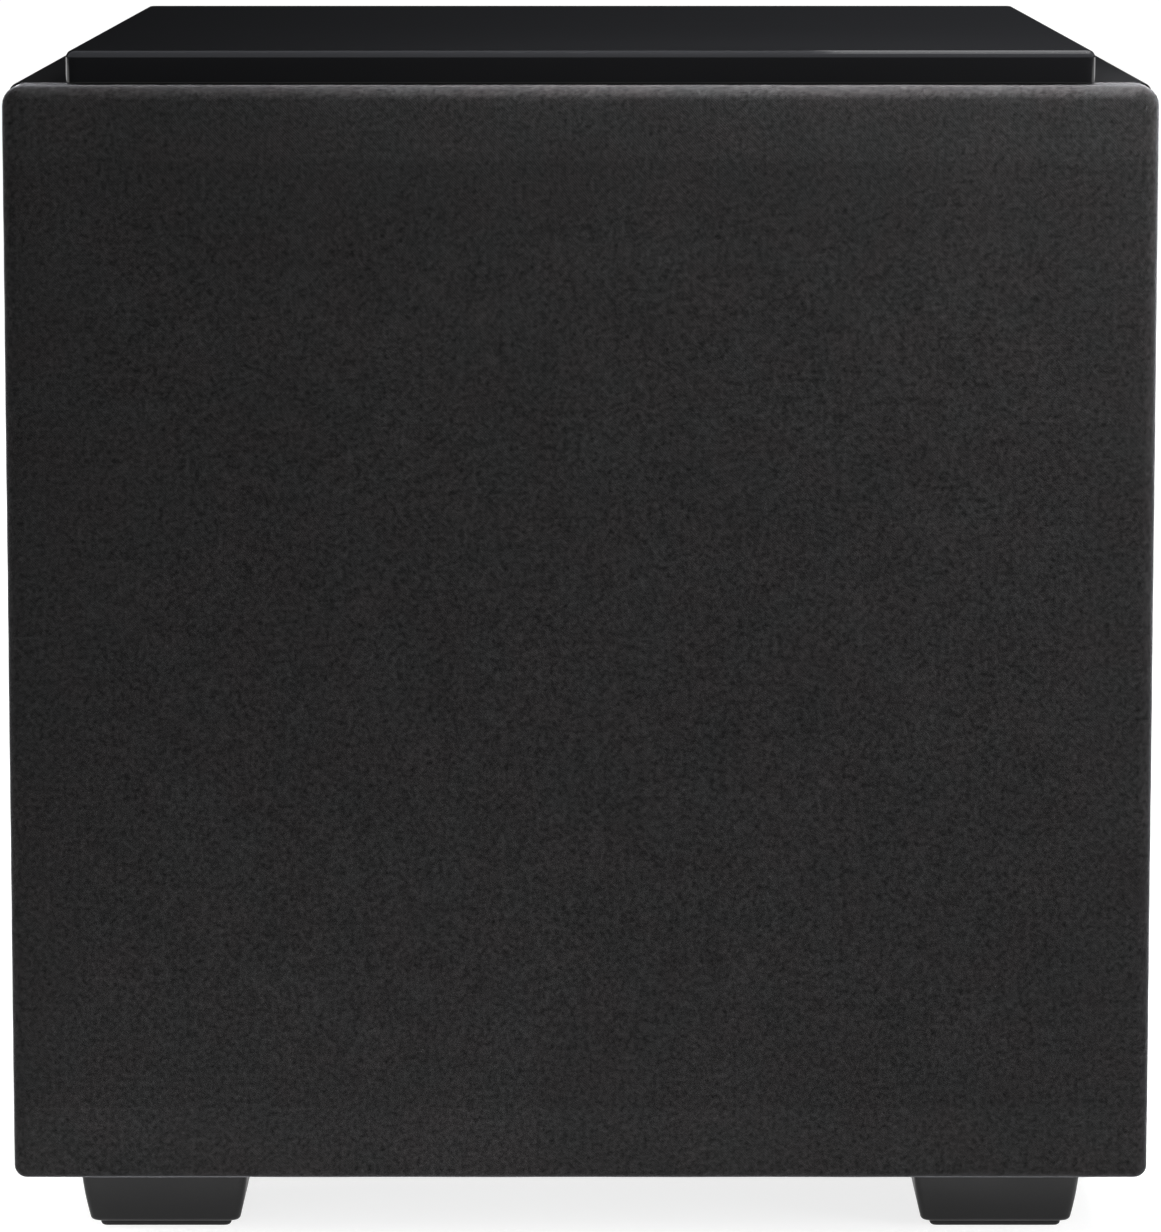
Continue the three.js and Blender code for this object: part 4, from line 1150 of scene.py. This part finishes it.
def knob(control):
    """A fluted knob with a dished end and a white pointer, on its shaft."""
    node = f"{control}_knob"
    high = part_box(node)[1]
    at = middle(node)
    height = (high.y - FACE_Y) / MM
    count, cut = 36, 0.045

    def flutes(angle, radius, depth):
        grip = 1.0 if 1.6 < depth < height - 1.4 and radius > 9 else 0.0
        return 1 - cut * grip * (0.5 + 0.5 * math.cos(count * angle)) ** 2

    skirt = [(0, 0.5), (11, 0.5), (11, 1.4), (10.6, 1.8), (10.6, 2.4), (10.4, height - 1.6),
             (10.1, height - 0.7), (9.3, height - 0.1), (8.6, height), (7.6, height - 0.35),
             (4, height - 0.55), (0, height - 0.6)]
    place, body = behind(node, FACE_Y), f"{control}_control"
    rides(turned(f"{node}_fluted", skirt, 216, place, sharp=40, flutes=flutes), body, "knob_plastic", node)
    rides(turned(f"{node}_shaft", tube(0, 3.2, -10, 0.6), SMALL, place), body, "magnet_steel")
    pointer = rounded_box(f"{node}_pointer", (at.x - 0.45 * MM, high.y - 0.7 * MM, at.z + 4.4 * MM),
                          (at.x + 0.45 * MM, high.y + 0.02 * MM, at.z + 9.6 * MM), 0.15 * MM, 2)
    rides(pointer, body, "knob_plastic", paint=WHITE_PRINT)


def slider(node, body):
    """A slide switch's button, with a ridged tip."""
    low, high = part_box(node)
    piece = rounded_box(f"{node}_button", low, high, 0.35 * MM, 3)
    ridges = [box_bm((low.x + (0.7 + 1.0 * k) * MM, high.y - 0.35 * MM, low.z - 0.01),
                     (low.x + (1.1 + 1.0 * k) * MM, high.y + 0.01, high.z + 0.01)) for k in range(3)]
    carved(piece, *ridges)
    rides(even_normals(piece), body, "knob_plastic", node)


def jack(name, ring_paint):
    """A phono jack: a gilt barrel with a rolled rim, round a coloured insulator with its pin hole."""
    node = f"phono_jack_{name}"
    place = behind(node, FACE_Y)
    barrel = filleted([(3.25, 2.0), (3.25, 9.3), (4.15, 9.3), (4.15, 2.5), (6.2, 2.5), (6.9, 1.8), (6.9, 0.3),
                       (5, 0.3), (5, -20), (3.25, -20)], 0.25, 3)
    core = [(0, 1.0), (1.6, 1.0), (1.6, 8.4), (1.8, 8.6), (3.0, 8.6), (3.2, 8.4), (3.2, -19), (0, -19)]
    collar = filleted(tube(7.05, 8.6, 0.15, 1.1), 0.3, 3)
    rides(turned(f"{node}_barrel", barrel, 64, place), "cabinet", "jack_metal", node)
    rides(turned(f"{node}_insulator", core, 48, place), "cabinet", "jack_metal", paint=ring_paint)
    rides(turned(f"{node}_collar", collar, 64, place), "cabinet", "jack_metal", paint=ring_paint)


def mains_inlet():
    """A combined inlet: a three-pin socket, a fuse drawer and a rocker in one flanged housing."""
    low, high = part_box("mains_inlet")
    drawer_x, rocker_x, socket_x = middle("fuse_drawer").x, middle("power_rocker").x, 28.5 * MM
    centre_z = (low.z + high.z) / 2
    through = high.y + 0.01
    outline = rect(low.x, high.x, low.z, high.z, 3 * MM, 6)
    flange = shown("mains_inlet_housing", drawn_bm(outline, FACE_Y + 0.3 * MM, high.y))
    side, end = 2.8 * MM, 2.3 * MM
    combined(flange, "UNION", shown("inlet_body", box_bm((low.x + side, low.y, low.z + end),
                                                         (high.x - side, FACE_Y + 1 * MM, high.z - end))))

    half, bottom, notch = 12.4 * MM, 8.4 * MM, 4.6 * MM
    shape = [(socket_x - half, centre_z - bottom), (socket_x + half, centre_z - bottom),
             (socket_x + half, centre_z + bottom - notch), (socket_x + half - notch, centre_z + bottom),
             (socket_x - half + notch, centre_z + bottom), (socket_x - half, centre_z + bottom - notch)]
    carved(flange, drawn_bm(filleted(shape, 1.2 * MM, 4), 0.197, through),
           box_bm(*around(drawer_x, centre_z, 4.4, 11.4, 0.189, through)),
           box_bm(*around(rocker_x, centre_z, 8.1, 12.4, 0.198, through)))
    rides(softened(flange, 0.5 * MM), "cabinet", "knob_plastic", "mains_inlet")

    blades = [(socket_x, centre_z + 3.4 * MM), (socket_x - 7 * MM, centre_z - 2 * MM),
              (socket_x + 7 * MM, centre_z - 2 * MM)]
    pins = [box_bm(*around(x, z, 1, 2, 0.196, FACE_Y - 2.4 * MM), 0.4 * MM, 2) for x, z in blades]
    rides(together("mains_inlet_pins", pins), "cabinet", "magnet_steel")
    fuse_drawer(drawer_x, centre_z)
    rocker()


def fuse_drawer(x, z):
    """The drawer's grooved head, its open tray and the fuse in it."""
    low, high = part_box("fuse_drawer")
    head_back = FACE_Y + 1.5 * MM
    head = rounded_box("fuse_drawer_head", (low.x, head_back, low.z), high, 0.6 * MM, 3)
    carved(head, box_bm((low.x - 0.01, high.y - 0.9 * MM, z - 3.2 * MM),
                        (high.x + 0.01, high.y + 0.01, z - 2.4 * MM)))
    rides(even_normals(head), "fuse_holder", "knob_plastic", "fuse_drawer")
    tray = rounded_box("fuse_drawer_tray", *around(x, z, 3.3, 10, 0.191, head_back + 0.1 * MM), 0.4 * MM, 2)
    carved(tray, box_bm((x - 1.9 * MM, 0.194, z - 8 * MM), (x + 9 * MM, FACE_Y - 2 * MM, z + 8 * MM)))
    rides(even_normals(tray), "fuse_holder", "knob_plastic")
    place = Matrix.Translation((x + 0.7 * MM, 0.2005, z - 7.6 * MM)) @ FACING_DOWN
    fuse = [(0, 0), (2.4, 0), (2.5, 0.2), (2.5, 4.6), (2.2, 4.8), (2.2, 10.4), (2.5, 10.6), (2.5, 15.0),
            (2.4, 15.2), (0, 15.2)]
    rides(turned("fuse_cartridge", fuse, 32, place), "fuse_holder", "coil_foil")


def rocker():
    """A dished rocker, pressed at its upper end, with a bar and a ring marked in its face."""
    at = middle("power_rocker")
    tilt = math.radians(8)
    half_width, edge = 7.5 * MM, 4.4
    side = [(-10.6, edge)] + curve((-10.2, edge), (0, 0.9), (10.2, edge), 14)
    side += [(10.6, edge), (10.6, -2), (4, -5.5), (-4, -5.5), (-10.6, -2)]
    points = [(-half_width, y * MM, z * MM) for z, y in filleted(side, 0.5, 3)]
    place = Matrix.Translation((at.x, FACE_Y - 1 * MM, at.z)) @ Matrix.Rotation(tilt, 4, "X")
    cap = shown("power_rocker_cap", moved(extruded_bm(points, (2 * half_width, 0, 0)), place), 28)
    rides(softened(cap, 0.4 * MM, 2, 60), "rocker", "knob_plastic", "power_rocker")
    bar = box_bm((-0.4 * MM, 3.0 * MM, 4.4 * MM), (0.4 * MM, 3.35 * MM, 7.6 * MM))
    ring = turned_bm(tube(1.2, 1.9, 0, 0.4), SMALL, Matrix.Translation((0, 2.95 * MM, -6 * MM)))
    rides(together("power_rocker_marks", [moved(bar, place), moved(ring, place)]), "rocker", "knob_plastic",
          paint=WHITE_PRINT)


def lamp():
    lens = [(0, -10), (2.6, -10), (2.6, 0.5), (2.4, 1.0), (1.8, 1.5), (1.0, 1.85), (0, 2.0)]
    piece = turned("status_lamp_lens", lens, SMALL, behind("status_lamp", FACE_Y), sharp=60)
    rides(piece, "cabinet", "lamp_lens", "status_lamp")


# ---------------------------------------------------------------- what stays as CAD
def keep_frame_parts():
    """Every CAD node that is still shown gets its slot's material; the bottom board's cut edge is painted."""
    slots = {part["node"]: part["material_slot"] for part in frame["record"]["subparts"]}
    slots["bottom_board"] = "painted_baffle"
    for name, node in frame["nodes"].items():
        node.data.materials.clear()
        node.data.materials.append(PAINT[slots[name]])


keep_frame_parts()
studio()
grille_cloth()
grille_frame()
peg_cups()
cabinet_shell()
front_baffle()
top_deck()
feet()
woofer()
radiator()
amplifier()
